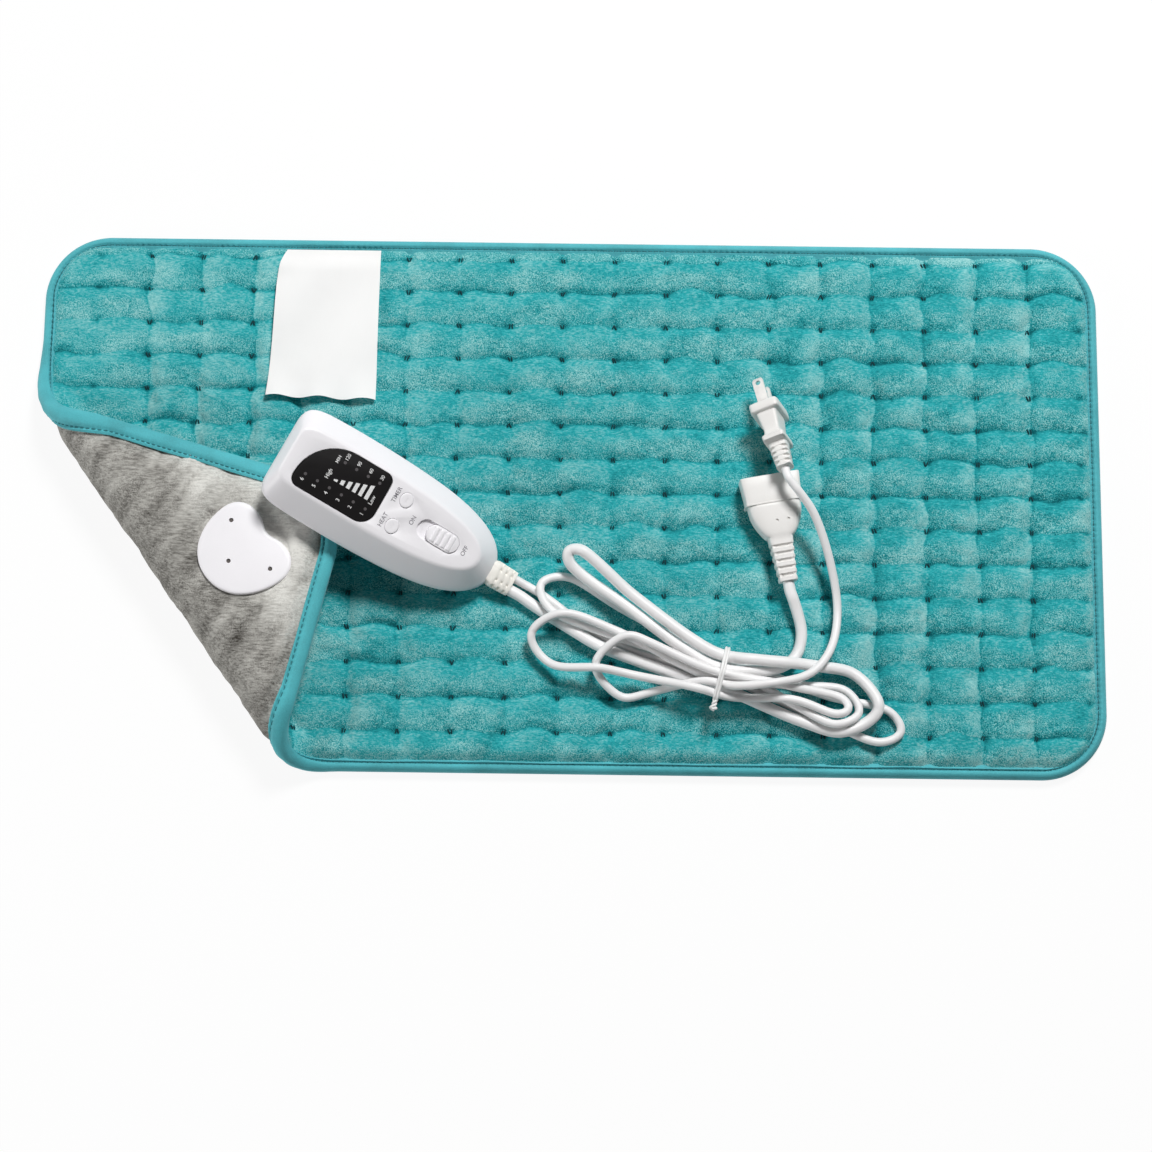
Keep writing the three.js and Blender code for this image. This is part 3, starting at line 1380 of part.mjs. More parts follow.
// Lays one pass of a cord over everything that lies there already, in long low humps.
function layPass(cord, pass, laid) {
  const mine = cord.samples.filter((sample) => sample.pass === pass);
  const radius = cord.diameter / 2;
  const needed = mine.map(({ position, run }) => {
    const fromTie = Math.hypot(position.x - tieX, position.y - tieY);
    const lifted = fromTie < tieLength ? tieDiameter + tieGap : 0;
    let height = padTop + Math.max(seatGap + radius + lifted, cord.held(run));
    for (const other of laid) {
      const clear = radius + other.radius + strandGap;
      const apart = Math.hypot(position.x - other.position.x, position.y - other.position.y);
      const joined = other.cord === cord && Math.abs(other.run - run) < 4 * cord.diameter;
      if (apart < clear && !joined) {
        height = Math.max(height, other.position.z + Math.sqrt(clear * clear - apart * apart));
      }
    }
    return height;
  });
  needed[0] = Math.max(needed[0], cord.tips[pass] ?? 0);
  needed[needed.length - 1] = Math.max(needed.at(-1), cord.tips[pass + 1] ?? 0);
  const heights = [...needed];
  const climb = (i, j) => {
    const step = Math.abs(mine[i].run - mine[j].run);
    heights[i] = Math.max(heights[i], heights[j] - cordSlope * step);
  };
  for (let i = 1; i < heights.length; i += 1) {
    climb(i, i - 1);
  }
  for (let i = heights.length - 2; i >= 0; i -= 1) {
    climb(i, i + 1);
  }
  for (let round = 0; round < smoothRounds; round += 1) {
    for (let i = 1; i + 1 < heights.length; i += 1) {
      heights[i] = Math.max(needed[i], (heights[i - 1] + heights[i] + heights[i + 1]) / 3);
    }
  }
  mine.forEach((sample, i) => {
    sample.position.z = heights[i];
    laid.push({ position: sample.position, run: sample.run, radius, cord });
  });
  cord.tips[pass] = Math.max(cord.tips[pass] ?? 0, heights[0]);
  cord.tips[pass + 1] = Math.max(cord.tips[pass + 1] ?? 0, heights.at(-1));
}

// Ends of a straight stretch of cord out of a moulding, in plan.
function cordStart(group, x, y, z, towards) {
  return [0, cordStraight].map((run) => {
    const p = new THREE.Vector3(x + towards * (seatGap + run), y, z).applyMatrix4(group.matrix);
    return new THREE.Vector2(p.x, p.y);
  });
}
function heightAbovePad(group, x, y, z) {
  return new THREE.Vector3(x, y, z).applyMatrix4(group.matrix).z - padTop;
}
const flat = (points) => points.map(([x, y]) => new THREE.Vector2(layoutX + x, y));
const reliefCordHeight = heightAbovePad(controller, reliefEnd, 0, caseSeam);
const reliefPins = [[0, reliefCordHeight], [cordStraight, reliefCordHeight - cordStraight * Math.sin(radians(casePitch))]];

const padCord = { diameter: padCordDiameter, tips: [] };
padCord.samples = samplePlan(cordPlan({
  lead: [...cordStart(controller, reliefEnd, -cordSpacing / 2, caseSeam, 1), ...flat(padLead)],
  loops: padLoops,
  slots: padSlots,
  tail: [...flat(padTail), ...cordStart(connector, 0, 0, 0, -1).reverse()],
}));
const padEnd = padCord.samples.at(-1).run;
const tiltedTip = padCord.samples.find(({ pass }) => pass === padLoops.length).run;
padCord.held = (run) => Math.max(
  pinnedHeight(reliefPins, run),
  pinnedHeight(padTiltPins, run - tiltedTip),
  pinnedHeight([[0, connectorHeight / 2 + seatGap], [2 * cordStraight, connectorHeight / 2 + seatGap]], padEnd - run),
);

const mainsCord = { diameter: mainsCordDiameter, tips: [] };
mainsCord.samples = samplePlan(cordPlan({
  lead: [...cordStart(controller, reliefEnd, cordSpacing / 2, caseSeam, 1), ...flat(mainsLead)],
  loops: mainsLoops,
  slots: mainsSlots,
  tail: [...flat(mainsTail), ...cordStart(plug, 0, 0, 0, -1).reverse()],
}));
const mainsEnd = mainsCord.samples.at(-1).run;
mainsCord.held = (run) => Math.max(pinnedHeight(reliefPins, run), pinnedHeight(plugTailPins, mainsEnd - run));

// The passes in the order that they were wound, from the lowest up.
const windingOrder = [
  [mainsCord, 0], [mainsCord, 1], [padCord, 0], [mainsCord, 2], [padCord, 2],
  [padCord, 1], [mainsCord, 3], [mainsCord, 5], [mainsCord, 6], [mainsCord, 4],
];
// Laying them again lets the two passes that meet at a tip settle at one height.
for (let round = 0; round < layRounds; round += 1) {
  const laid = [];
  windingOrder.forEach(([cord, pass]) => layPass(cord, pass, laid));
}

// Keeps only the points that a strand's shape needs.
function thinned(points) {
  const foot = new THREE.Vector3();
  const strays = (from, to) => {
    const line = new THREE.Line3(points[from], points[to]);
    return points.slice(from + 1, to).some((p) => (
      line.closestPointToPoint(p, true, foot).distanceTo(p) > strandTolerance
    ));
  };
  const kept = [points[0]];
  let start = 0;
  for (let i = 2; i < points.length; i += 1) {
    if (strays(start, i)) {
      start = i - 1;
      kept.push(points[start]);
    }
  }
  kept.push(points.at(-1));
  return kept;
}

// Least distance between the turns of a strand, surface to surface.
function leastGap(points, diameter) {
  const close = [];
  points.slice(1).forEach((p, i) => {
    const length = p.distanceTo(points[i]);
    const start = close.length ? close.at(-1).run : 0;
    for (let run = 0.5; run <= length; run += 0.5) {
      close.push({ p: points[i].clone().lerp(p, run / length), run: start + run });
    }
  });
  let least = Infinity;
  close.forEach((a, i) => {
    for (let j = i + 1; j < close.length; j += 1) {
      if (close[j].run - a.run > 4 * diameter) {
        least = Math.min(least, a.p.distanceTo(close[j].p) - diameter);
      }
    }
  });
  return least;
}

// Each cord as three nodes: a free lead, the hank and a free tail.
function cordNodes(name, cord, material) {
  const last = cord.samples.at(-1).pass;
  const fromTie = ({ position }) => Math.hypot(position.x - tieX, position.y - tieY);
  const leadEnd = cord.samples.findIndex((sample) => fromTie(sample) < hankReach);
  const lastTie = cord.samples.findLastIndex((sample) => sample.pass === last && fromTie(sample) < tieLength);
  const tailStart = cord.samples.findIndex((sample, i) => i > lastTie && fromTie(sample) > tailReach);
  const points = cord.samples.map(({ position }) => position);
  const circle = new THREE.Shape().absarc(0, 0, cord.diameter / 2, 0, Math.PI * 2);
  const freeStretch = (stretch) => {
    const path = new THREE.CatmullRomCurve3(stretch.filter((_, i) => i % 4 === 0 || i === stretch.length - 1));
    const steps = Math.ceil(path.getLength() / (2 * cord.diameter));
    return new THREE.ExtrudeGeometry(circle, { steps, extrudePath: path, curveSegments: 10 });
  };
  place(`${name}_lead`, freeStretch(points.slice(0, leadEnd)), material);
  place(`${name}_tail`, freeStretch(points.slice(tailStart + 1)), material);
  const strand = thinned(points.slice(leadEnd, tailStart));
  place(`${name}_hank`, tube(strand, cord.diameter / 2, 6), material);
  console.log(`${name}_hank: least gap ${leastGap(strand, cord.diameter).toFixed(2)} mm`);
  console.log(`${name}: ${cord.samples.at(-1).run.toFixed(0)} mm long`);
}
cordNodes('pad_cord', padCord, whiteCord);
cordNodes('mains_cord', mainsCord, whiteCord);

// Twist tie: a wire drawn round all strands, ending in a short twisted tail.
function tieRing() {
  const atTie = [padCord, mainsCord].flatMap((cord) => {
    const passes = Array.from({ length: cord.samples.at(-1).pass + 1 }, (_, pass) => pass);
    return passes.map((pass) => {
      const mine = cord.samples.filter((sample) => sample.pass === pass);
      const along = (sample) => Math.abs(
        (sample.position.x - tieX) * tieDirection.x + (sample.position.y - tieY) * tieDirection.y,
      );
      const nearest = mine.reduce((best, sample) => (along(sample) < along(best) ? sample : best));
      const across = (nearest.position.x - tieX) * tieAcross.x + (nearest.position.y - tieY) * tieAcross.y;
      return { across, up: nearest.position.z, radius: cord.diameter / 2 };
    });
  });
  const count = 28;
  return Array.from({ length: count }, (_, i) => {
    const angle = (2 * Math.PI * i) / count;
    const c = Math.cos(angle);
    const s = Math.sin(angle);
    const reach = (strand) => strand.across * c + strand.up * s + strand.radius;
    const outer = atTie.reduce((best, strand) => (reach(strand) > reach(best) ? strand : best));
    const offset = outer.radius + tieGap + tieDiameter / 2;
    return { across: outer.across + offset * c, up: outer.up + offset * s };
  });
}
function tiePoint({ across, up }, along = 0) {
  const p = tieMiddle.clone().addScaledVector(tieAcross, across).addScaledVector(tieDirection, along);
  return new THREE.Vector3(p.x, p.y, up);
}
function hankTie() {
  const ring = tieRing();
  const sides = 6;
  const middle = { across: 0, up: 0 };
  ring.forEach(({ across, up }) => {
    middle.across += across / ring.length;
    middle.up += up / ring.length;
  });
  const points = ring.flatMap(({ across, up }) => {
    const out = new THREE.Vector2(across - middle.across, up - middle.up).normalize();
    return Array.from({ length: sides }, (_, k) => {
      const angle = (2 * Math.PI * k) / sides;
      const radius = tieDiameter / 2;
      const outward = radius * Math.cos(angle);
      return tiePoint({ across: across + out.x * outward, up: up + out.y * outward }, radius * Math.sin(angle));
    });
  });
  const faces = [];
  ring.forEach((_, i) => {
    const start = i * sides;
    const next = ((i + 1) % ring.length) * sides;
    for (let k = 0; k < sides; k += 1) {
      const j = (k + 1) % sides;
      faces.push([start + k, start + j, next + j], [start + k, next + j, next + k]);
    }
  });
  const knot = ring[Math.round(ring.length * 0.38)];
  const twist = [0, 0.35, 0.7, 1].map((share) => tiePoint({
    across: knot.across - 0.55 * tieTailLength * share,
    up: knot.up + 0.3 * tieTailLength * Math.sin(share * 2),
  }, 0.75 * tieTailLength * share));
  return join(closedGeometry(points, faces), tube(twist, 0.8 * tieDiameter, 6));
}
place('hank_tie', hankTie(), satinWhite);

export default part;
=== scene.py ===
"""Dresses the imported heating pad: plush covers, sewn edge, moulded controller, cords and what they end in."""

import math
from functools import partial

import bpy
import numpy as np
from mathutils import Matrix, Vector, noise


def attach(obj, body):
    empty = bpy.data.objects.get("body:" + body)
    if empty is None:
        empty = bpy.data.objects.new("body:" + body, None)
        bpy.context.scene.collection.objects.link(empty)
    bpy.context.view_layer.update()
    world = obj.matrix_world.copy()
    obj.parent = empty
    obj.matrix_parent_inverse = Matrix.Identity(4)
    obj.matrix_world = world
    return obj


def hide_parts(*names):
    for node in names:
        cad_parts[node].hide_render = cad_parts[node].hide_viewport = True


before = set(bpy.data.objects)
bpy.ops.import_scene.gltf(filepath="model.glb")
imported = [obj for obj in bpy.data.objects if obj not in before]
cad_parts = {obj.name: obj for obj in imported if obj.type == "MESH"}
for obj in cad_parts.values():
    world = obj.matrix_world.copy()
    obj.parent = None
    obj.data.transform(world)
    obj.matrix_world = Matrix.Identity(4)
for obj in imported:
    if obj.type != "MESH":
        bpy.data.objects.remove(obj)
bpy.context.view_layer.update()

bl_info = {
    "name": "Heating pad with controller",
    "version": (1, 0, 0),
    "blender": (4, 5, 0),
    "location": "3D View > Sidebar > Heating pad",
    "description": "Plush covers, sewn edge, controller, cords and stage for a folded heating pad",
    "category": "Object",
}

MM = 0.001


def linear(red, green, blue):
    """A colour as it is seen on screen, turned to the linear values that shaders use."""
    shares = [value / 255 for value in (red, green, blue)]
    return tuple(s / 12.92 if s <= 0.04045 else ((s + 0.055) / 1.055) ** 2.4 for s in shares)


def distance(name, description, default):
    """A length that a user may change."""
    return bpy.props.FloatProperty(
        name=name, description=description, default=default, min=0.0, precision=5, subtype="DISTANCE", unit="LENGTH"
    )


def colouring(name, description, default):
    """A colour that a user may change, given as it is seen on screen."""
    return bpy.props.FloatVectorProperty(
        name=name, description=description, default=linear(*default), min=0.0, max=1.0, size=3, subtype="COLOR"
    )


class PadSettings(bpy.types.PropertyGroup):
    """Sizes and colours of the quilted pad."""

    length: distance("Length", "Length of the open pad", 0.610)
    width: distance("Width", "Width of the open pad", 0.310)
    corner: distance("Corner radius", "Radius of the pad's corners", 0.038)
    puff: distance("Puff", "Height of the plush between the tack stitches", 0.0031)
    pile: distance("Pile", "Unevenness of the plush pile", 0.00042)
    crease: distance("Crease", "Depth of the creases along the tack stitches", 0.0013)
    binding_width: distance("Binding width", "Width of the sewn edge tape", 0.010)
    stitch_pitch: distance("Stitch pitch", "Distance between the stitches of the edge", 0.0033)
    # The deep, middle and pale tones of each plush also carry its painted shade and painted sheen.
    front_deep: colouring("Front, pile away", "Front plush where the pile leans away", (6, 92, 99))
    front_mid: colouring("Front, middle", "Front plush at its middle tone", (44, 170, 176))
    front_pale: colouring("Front, pile towards", "Front plush where the pile leans to the light", (164, 219, 217))
    back_deep: colouring("Back, pile away", "Back plush where the pile leans away", (66, 63, 58))
    back_mid: colouring("Back, middle", "Back plush at its middle tone", (176, 174, 168))
    back_pale: colouring("Back, pile towards", "Back plush where the pile leans to the light", (228, 227, 221))
    thread: colouring("Tack thread", "Thread of the tack stitches", (8, 58, 64))
    tape: colouring("Binding", "Edge tape", (84, 180, 189))
    label: colouring("Label", "Care label", (251, 251, 250))


class ControllerSettings(bpy.types.PropertyGroup):
    """Sizes and colours of the hand controller."""

    length: distance("Length", "Length of the case", 0.1366)
    half_width: distance("Half width", "Half of the case's width", 0.030)
    height: distance("Height", "Height of the case", 0.024)
    case: colouring("Case", "Moulded case", (243, 241, 244))
    window: colouring("Window", "Display window", (14, 12, 13))
    print_grey: colouring("Lettering", "Lettering on the case", (138, 136, 142))
    mark_white: colouring("Marks", "Marks on the display", (236, 236, 236))


class CordSettings(bpy.types.PropertyGroup):
    """Sizes and colours of the cords and their ends."""

    mains_diameter: distance("Mains cord", "Diameter of the mains cord", 0.0047)
    pad_diameter: distance("Pad cord", "Diameter of the pad cord", 0.0065)
    tie_diameter: distance("Tie", "Diameter of the twist tie", 0.0016)
    cord: colouring("Cord", "Both cords", (240, 239, 239))
    moulding: colouring("Mouldings", "Plug and connector", (232, 230, 227))
    relief: colouring("Strain relief", "Ribbed boot of the controller", (242, 239, 231))


class StageSettings(bpy.types.PropertyGroup):
    """Floor, light and camera."""

    floor_size: distance("Floor", "Side of the floor", 40.0)
    floor: colouring("Floor colour", "Floor and backdrop", (255, 255, 255))
    key_power: bpy.props.FloatProperty(
        name="Key light", description="Power of the large soft lamp", default=43.5, min=0.0, unit="POWER"
    )
    fill_power: bpy.props.FloatProperty(
        name="Fill light", description="Power of the lamp from the side", default=8.5, min=0.0, unit="POWER"
    )
    ambient: bpy.props.FloatProperty(
        name="Ambient", description="Strength of the light from all round", default=0.06, min=0.0
    )


# Shader maths

WAVE_SHARE = 3.2


class Term:
    """A socket of a node tree that is added, taken away and multiplied like a number."""

    def __init__(self, nodes, socket):
        self.nodes = nodes
        self.socket = socket

    def maths(self, operation, *values):
        """A Math node over values, in their order."""
        return self.nodes.node("ShaderNodeMath", {"operation": operation}, dict(enumerate(values)))

    def __add__(self, other):
        return self.maths("ADD", self, other)

    def __radd__(self, other):
        return self.maths("ADD", other, self)

    def __sub__(self, other):
        return self.maths("SUBTRACT", self, other)

    def __rsub__(self, other):
        return self.maths("SUBTRACT", other, self)

    def __mul__(self, other):
        return self.maths("MULTIPLY", self, other)

    def __rmul__(self, other):
        return self.maths("MULTIPLY", other, self)

    def clamped(self):
        """The same value, kept from 0 to 1."""
        return self.nodes.node("ShaderNodeClamp", {}, {"Value": self})


class Nodes:
    """A node tree and the few ways in which its nodes are made."""

    def __init__(self, tree):
        self.tree = tree

    def node(self, kind, settings=None, inputs=None, output=0):
        """Adds a node, sets it up, then gives its sockets their values or links."""
        made = self.tree.nodes.new(kind)
        for name, value in (settings or {}).items():
            if name == "stops":
                self.set_stops(made.color_ramp, value)
            else:
                setattr(made, name, value)
        for name, value in (inputs or {}).items():
            self.feed(made.inputs[name], value)
        return Term(self, made.outputs[output])

    @staticmethod
    def set_stops(ramp, stops):
        while len(ramp.elements) < len(stops):
            ramp.elements.new(1.0)
        for element, (position, colour) in zip(ramp.elements, stops):
            element.position = position
            element.color = (*colour, 1.0)

    def feed(self, socket, value):
        if isinstance(value, Term):
            self.tree.links.new(value.socket, socket)
        elif isinstance(value, tuple) and len(value) == 3 and socket.type == "RGBA":
            socket.default_value = (*value, 1.0)
        else:
            socket.default_value = value

    def seen(self):
        """1 for rays from the camera, from gloss and through glass, and 0 for the light on the object."""
        kinds = ("Is Camera Ray", "Is Glossy Ray", "Is Transmission Ray")
        camera, gloss, glass = (self.node("ShaderNodeLightPath", output=kind) for kind in kinds)
        return camera.maths("MAXIMUM", camera, gloss.maths("MAXIMUM", gloss, glass))


class Finish(Nodes):
    """A material with its shader."""

    def __init__(self, name, **constants):
        self.material = bpy.data.materials.new(f"{name}_finish")
        self.material.use_nodes = True
        super().__init__(self.material.node_tree)
        self.shader = self.tree.nodes["Principled BSDF"]
        self.place = None
        for socket, value in constants.items():
            self.shader.inputs[socket.replace("_", " ")].default_value = value

    def show(self, **inputs):
        """Feeds the shader's own sockets."""
        for name, value in inputs.items():
            self.feed(self.shader.inputs[name.replace("_", " ")], value)

    def where(self):
        """Place on the piece, in metres."""
        if self.place is None:
            self.place = self.node("ShaderNodeTexCoord", output="Object")
        return self.place

    def grain(self, size, detail=2.0, roughness=0.55, stretch=None, lean=0.0):
        """Noise whose lumps are about a size in mm across, from 0 to 1."""
        place = self.where()
        if stretch is not None:
            place = self.node(
                "ShaderNodeMapping", {}, {"Vector": place, "Scale": stretch, "Rotation": (0.0, 0.0, lean)}
            )
        return self.node(
            "ShaderNodeTexNoise",
            {"noise_dimensions": "3D"},
            {"Vector": place, "Scale": 1.0 / (size * MM), "Detail": detail, "Roughness": roughness},
        )

    def ribs(self, pitch):
        """Fine ribs side by side along X at a pitch in mm, from 0 to 1."""
        return self.node(
            "ShaderNodeTexWave",
            {"wave_type": "BANDS", "bands_direction": "X", "wave_profile": "SIN"},
            {"Vector": self.where(), "Scale": 1.0 / (WAVE_SHARE * pitch * MM), "Distortion": 0.6, "Detail": 1.0},
        )

    def painted(self, name):
        """A value that the mesh holds at each point."""
        return self.node("ShaderNodeAttribute", {"attribute_name": name}, output="Fac")

    def step(self, value, start, end):
        """A soft step from 0 to 1 as a value goes from a start to an end."""
        return self.node(
            "ShaderNodeMapRange",
            {"interpolation_type": "SMOOTHSTEP"},
            {"Value": value, "From Min": start, "From Max": end},
        )

    def rounds(self, name):
        """A painted value that runs from 0 to 1 over and over, with its distance from the turns in radians."""
        sine, cosine = self.painted(f"{name}_sine"), self.painted(f"{name}_cosine")
        angle = sine.maths("ARCTAN2", sine, cosine)
        turn = angle * (0.5 / math.pi) + 1.0
        return turn.maths("FRACT", turn), angle

    def dressed(self, tone, stops, roughness, height, depth, strength):
        """The material, with its colour by tone, its roughness and a surface that is uneven by a depth in mm."""
        self.show(Base_Color=self.node("ShaderNodeValToRGB", {"stops": stops}, {"Fac": tone}), Roughness=roughness)
        uneven = {"Height": height, "Distance": depth * MM, "Strength": strength}
        self.show(Normal=self.node("ShaderNodeBump", {}, uneven))
        return self.material


def shade(colour, factor):
    """A colour made darker or lighter."""
    return tuple(min(1.0, value * factor) for value in colour)


def shades(colour, *stops):
    """Stops of a ramp, each at its position a colour made darker or lighter."""
    return [(position, shade(colour, factor)) for position, factor in stops]


def colour_of(colour):
    """A colour, or the one that a setting holds, given as its group and name."""
    if isinstance(colour, str):
        group, name = colour.split(".")
        return tuple(getattr(getattr(bpy.context.scene, group), name))
    return colour


# Finishes, one for each material slot


TONE_STOPS = (0.02, 0.28, 0.5, 0.74, 0.98)
BRUSHED_SIZE, CLUMP_SIZE = 14, 3.4
PILE_DEPTH, PILE_STRENGTH = 1.1, 0.55


def plush(made, tones, speckle_size, stretch, lean, nap, speckled):
    """Short plush pile: it looks smooth where it leans away and speckled where its ends show."""
    brushed = made.grain(BRUSHED_SIZE, stretch=(0.8, 1.1, 1.0), lean=lean)
    clumps = made.grain(CLUMP_SIZE, roughness=0.6, stretch=(0.7, 1.2, 1.0), lean=lean)
    ends = made.grain(speckle_size, roughness=0.75)
    lying = made.grain(speckle_size * 1.3, roughness=0.6, stretch=stretch, lean=lean)
    pile = (ends - 0.5) * speckled * 2.6 + (lying - 0.5) * (1.1 - speckled) * 0.9
    # The tone adds the pile's clumps and speckle to the painted shade and painted sheen that each cover's nap value
    # carries.
    tone = nap + (brushed - 0.5) * 0.26 + (clumps - 0.5) * (0.16 + 0.4 * speckled) + pile
    stops, uneven = list(zip(TONE_STOPS, tones)), clumps * 0.5 + pile * 0.5
    return made.dressed(tone, stops, 0.88 + 0.1 * ends, uneven, PILE_DEPTH, PILE_STRENGTH)


def pile_finish(name):
    return Finish(name, Sheen_Weight=0.06, Sheen_Roughness=0.5, Specular_IOR_Level=0.08)


def halfway(first, second):
    return tuple((a + b) / 2 for a, b in zip(first, second))


def tones_between(deep, middle, pale):
    """Five tones from the darkest to the palest."""
    return [tuple(deep), halfway(deep, middle), tuple(middle), halfway(middle, pale), tuple(pale)]


# Reaches and shifts of the painted shade in the row and column creases and in the tack pits, in metres.
CREASE_SHADE_REACH, COLUMN_SHADE_REACH = 0.9 * MM, 1.3 * MM
PIT_SHADE_REACHES, PIT_SHADE_SHIFTS = (2.0 * MM, 2.6 * MM), (0.5 * MM, -0.6 * MM)


def teal_plush():
    """Quilted front: smooth below each row of tacks, speckled above the next, with painted sheen on the pillows'
    outer sides towards the pad's ends and painted shade in the creases, the tack pits and just above each row.
    """
    pad = bpy.context.scene.heating_pad
    columns, rows = tack_lines()
    made = pile_finish("teal_plush")
    down, row_angle = made.rounds("row")
    across, column_angle = made.rounds("column")
    row_gap = row_angle * ((rows[1] - rows[0]) / (2 * math.pi))
    column_gap = column_angle * ((columns[1] - columns[0]) / (2 * math.pi))
    drawn, pillow, turned = made.painted("drawn"), made.painted("pillow"), made.painted("turned")
    # painted sheen: a pale strip on each pillow's side towards the pad's end
    frost = made.step(across, 0.42, 0.96) * (1.0 - made.step(across, 0.975, 1.0)) * pillow * made.painted("frost")
    low = made.step(down + turned * 0.3, 0.4, 0.78)
    # painted shade just above each row of tacks, where the pillow turns away from the light, with more speckle there
    shaded_verge = made.step(down, 0.66, 1.0)
    # painted shade: dark lines in the row creases and column creases, and dark tack pits
    crease = near(row_gap, CREASE_SHADE_REACH)
    pit = near(row_gap + PIT_SHADE_SHIFTS[0], PIT_SHADE_REACHES[0]) * near(column_gap + PIT_SHADE_SHIFTS[1], PIT_SHADE_REACHES[1])
    nap = made.painted("nap") + low * turned * 0.1 + frost * 0.26 - shaded_verge * drawn * 0.14
    nap = nap - crease * drawn * 0.26 - near(column_gap, COLUMN_SHADE_REACH) * pillow * 0.09 - pit * 0.36
    # painted shade on each pillow's inner side, away from the light
    nap = nap - (1.0 - made.step(across, 0.0, 0.35)) * pillow * 0.07
    speckled = (0.14 + low * (0.3 + 0.6 * turned) + shaded_verge * 0.15 - frost * 0.45).clamped()
    tones = tones_between(pad.front_deep, pad.front_mid, pad.front_pale)
    return plush(made, tones, 0.7, (0.4, 1.0, 1.0), 0.15, nap, speckled)


def near(gap, reach):
    """1 where a gap is nought, falling off softly over a reach."""
    share = gap * (1.0 / reach)
    power = 0.0 - share * share
    return power.maths("EXPONENT", power)


def grey_plush():
    """Back: long pile that lies in brushed streaks."""
    pad = bpy.context.scene.heating_pad
    made = pile_finish("grey_plush")
    tones = tones_between(pad.back_deep, pad.back_mid, pad.back_pale)
    return plush(made, tones, 0.8, (0.2, 1.0, 1.0), -0.3, made.painted("nap"), made.painted("speckle"))


def teal_tape():
    """Knitted tape: a fine weave, paler where it is rubbed."""
    made = Finish("teal_tape", Sheen_Weight=0.12, Sheen_Roughness=0.4, Specular_IOR_Level=0.25)
    weave, cloud = made.grain(0.7), made.grain(20)
    tone = 0.5 + (cloud - 0.5) * 0.8 + (weave - 0.5) * 0.5
    stops = shades(colour_of("heating_pad.tape"), (0.15, 0.72), (0.5, 1.0), (0.9, 1.25))
    return made.dressed(tone, stops, 0.62 + 0.2 * weave, weave, 0.4, 0.5)


def label_satin():
    """Woven satin: fine ribs along the label's length."""
    made = Finish("label_satin", Specular_IOR_Level=0.3)
    ribs, cloud = made.ribs(0.5), made.grain(30)
    tone = 0.55 + (ribs - 0.5) * 0.35 + (cloud - 0.5) * 0.5
    stops = shades(colour_of("heating_pad.label"), (0.0, 0.86), (0.7, 1.0))
    return made.dressed(tone, stops, 0.55 + 0.15 * cloud, ribs, 0.1, 0.4)


def moulded(name, colour, roughness, texture=0.9, depth=0.06):
    """Moulded plastic or rubber: a faint spark-eroded grain, uneven gloss and slight soiling."""
    made = Finish(name, Specular_IOR_Level=0.45)
    grain, cloud = made.grain(texture), made.grain(24, detail=3.0)
    tone = 0.62 + (cloud - 0.5) * 0.55 + (grain - 0.5) * 0.12
    stops = shades(colour_of(colour), (0.0, 0.86), (0.55, 1.0), (1.0, 1.03))
    return made.dressed(tone, stops, roughness - 0.05 + 0.12 * cloud, grain, depth, 0.5)


def window():
    """Dark acrylic window, wiped but not quite clean."""
    made = Finish("window", Specular_IOR_Level=0.1)
    smears = made.grain(12, detail=4.0, stretch=(1.0, 3.0, 1.0), lean=0.6)
    dust = made.grain(0.6)
    stops = shades(colour_of("controller.window"), (0.3, 0.7), (0.9, 1.3))
    return made.dressed(dust * 0.5 + smears * 0.5, stops, 0.3 + 0.16 * smears, smears, 0.02, 0.3)


def metal(name, colour, roughness):
    """Rolled metal with fine drawn lines."""
    made = Finish(name, Metallic=1.0)
    lines = made.grain(0.6, detail=3.0, stretch=(0.15, 1.0, 1.0), lean=0.3)
    stops = shades(colour, (0.2, 0.78), (0.7, 1.0))
    return made.dressed(made.grain(6), stops, roughness + 0.18 * lines, lines, 0.03, 0.5)


def coarse(name, colour, size, roughness, depth, tint=1.0):
    """A plain material with a visible grain."""
    made = Finish(name, Specular_IOR_Level=0.3)
    grain = made.grain(size, detail=4.0, roughness=0.65)
    stops = shades(shade(colour_of(colour), tint), (0.25, 0.7), (0.6, 1.0), (0.9, 1.2))
    return made.dressed(grain, stops, roughness - 0.1 + 0.2 * grain, grain, depth, 0.6)


white_plastic = partial(moulded, "white_plastic", "controller.case", 0.36)
white_rubber = partial(moulded, "white_rubber", "cords.moulding", 0.42, 1.2)
cream_rubber = partial(moulded, "cream_rubber", "cords.relief", 0.5, 1.2)
white_cord = partial(moulded, "white_cord", "cords.cord", 0.42, 1.6, 0.12)
tie_wire = partial(moulded, "tie_wire", linear(242, 242, 241), 0.4, 1.2)
bright_metal = partial(metal, "bright_metal", linear(232, 230, 227), 0.3)
dark_screw = partial(metal, "dark_screw", linear(74, 70, 68), 0.45)
brass = partial(metal, "brass", linear(203, 168, 82), 0.28)
tack_thread = partial(coarse, "tack_thread", "heating_pad.thread", 0.6, 0.85, 0.1)
# A real thread, tinted darker than the tape so that it also stands in as painted shade along the stitch line.
edge_thread = partial(coarse, "edge_thread", "heating_pad.tape", 0.5, 0.8, 0.04, tint=0.45)
case_print = partial(coarse, "case_print", "controller.print_grey", 0.5, 0.6, 0.02)
display_print = partial(coarse, "display_print", "controller.mark_white", 0.5, 0.5, 0.02)
display_light = partial(coarse, "display_light", linear(78, 74, 76), 0.6, 0.4, 0.02)
felt = partial(coarse, "felt", linear(226, 223, 214), 1.6, 0.92, 0.5)
silicone = partial(coarse, "silicone", linear(230, 217, 200), 2, 0.55, 0.1)
board = partial(coarse, "board", linear(46, 106, 68), 1.4, 0.45, 0.05)
black_package = partial(coarse, "black_package", linear(30, 30, 33), 0.7, 0.55, 0.04)
clear_light = partial(coarse, "clear_light", linear(236, 232, 220), 1.2, 0.25, 0.03)
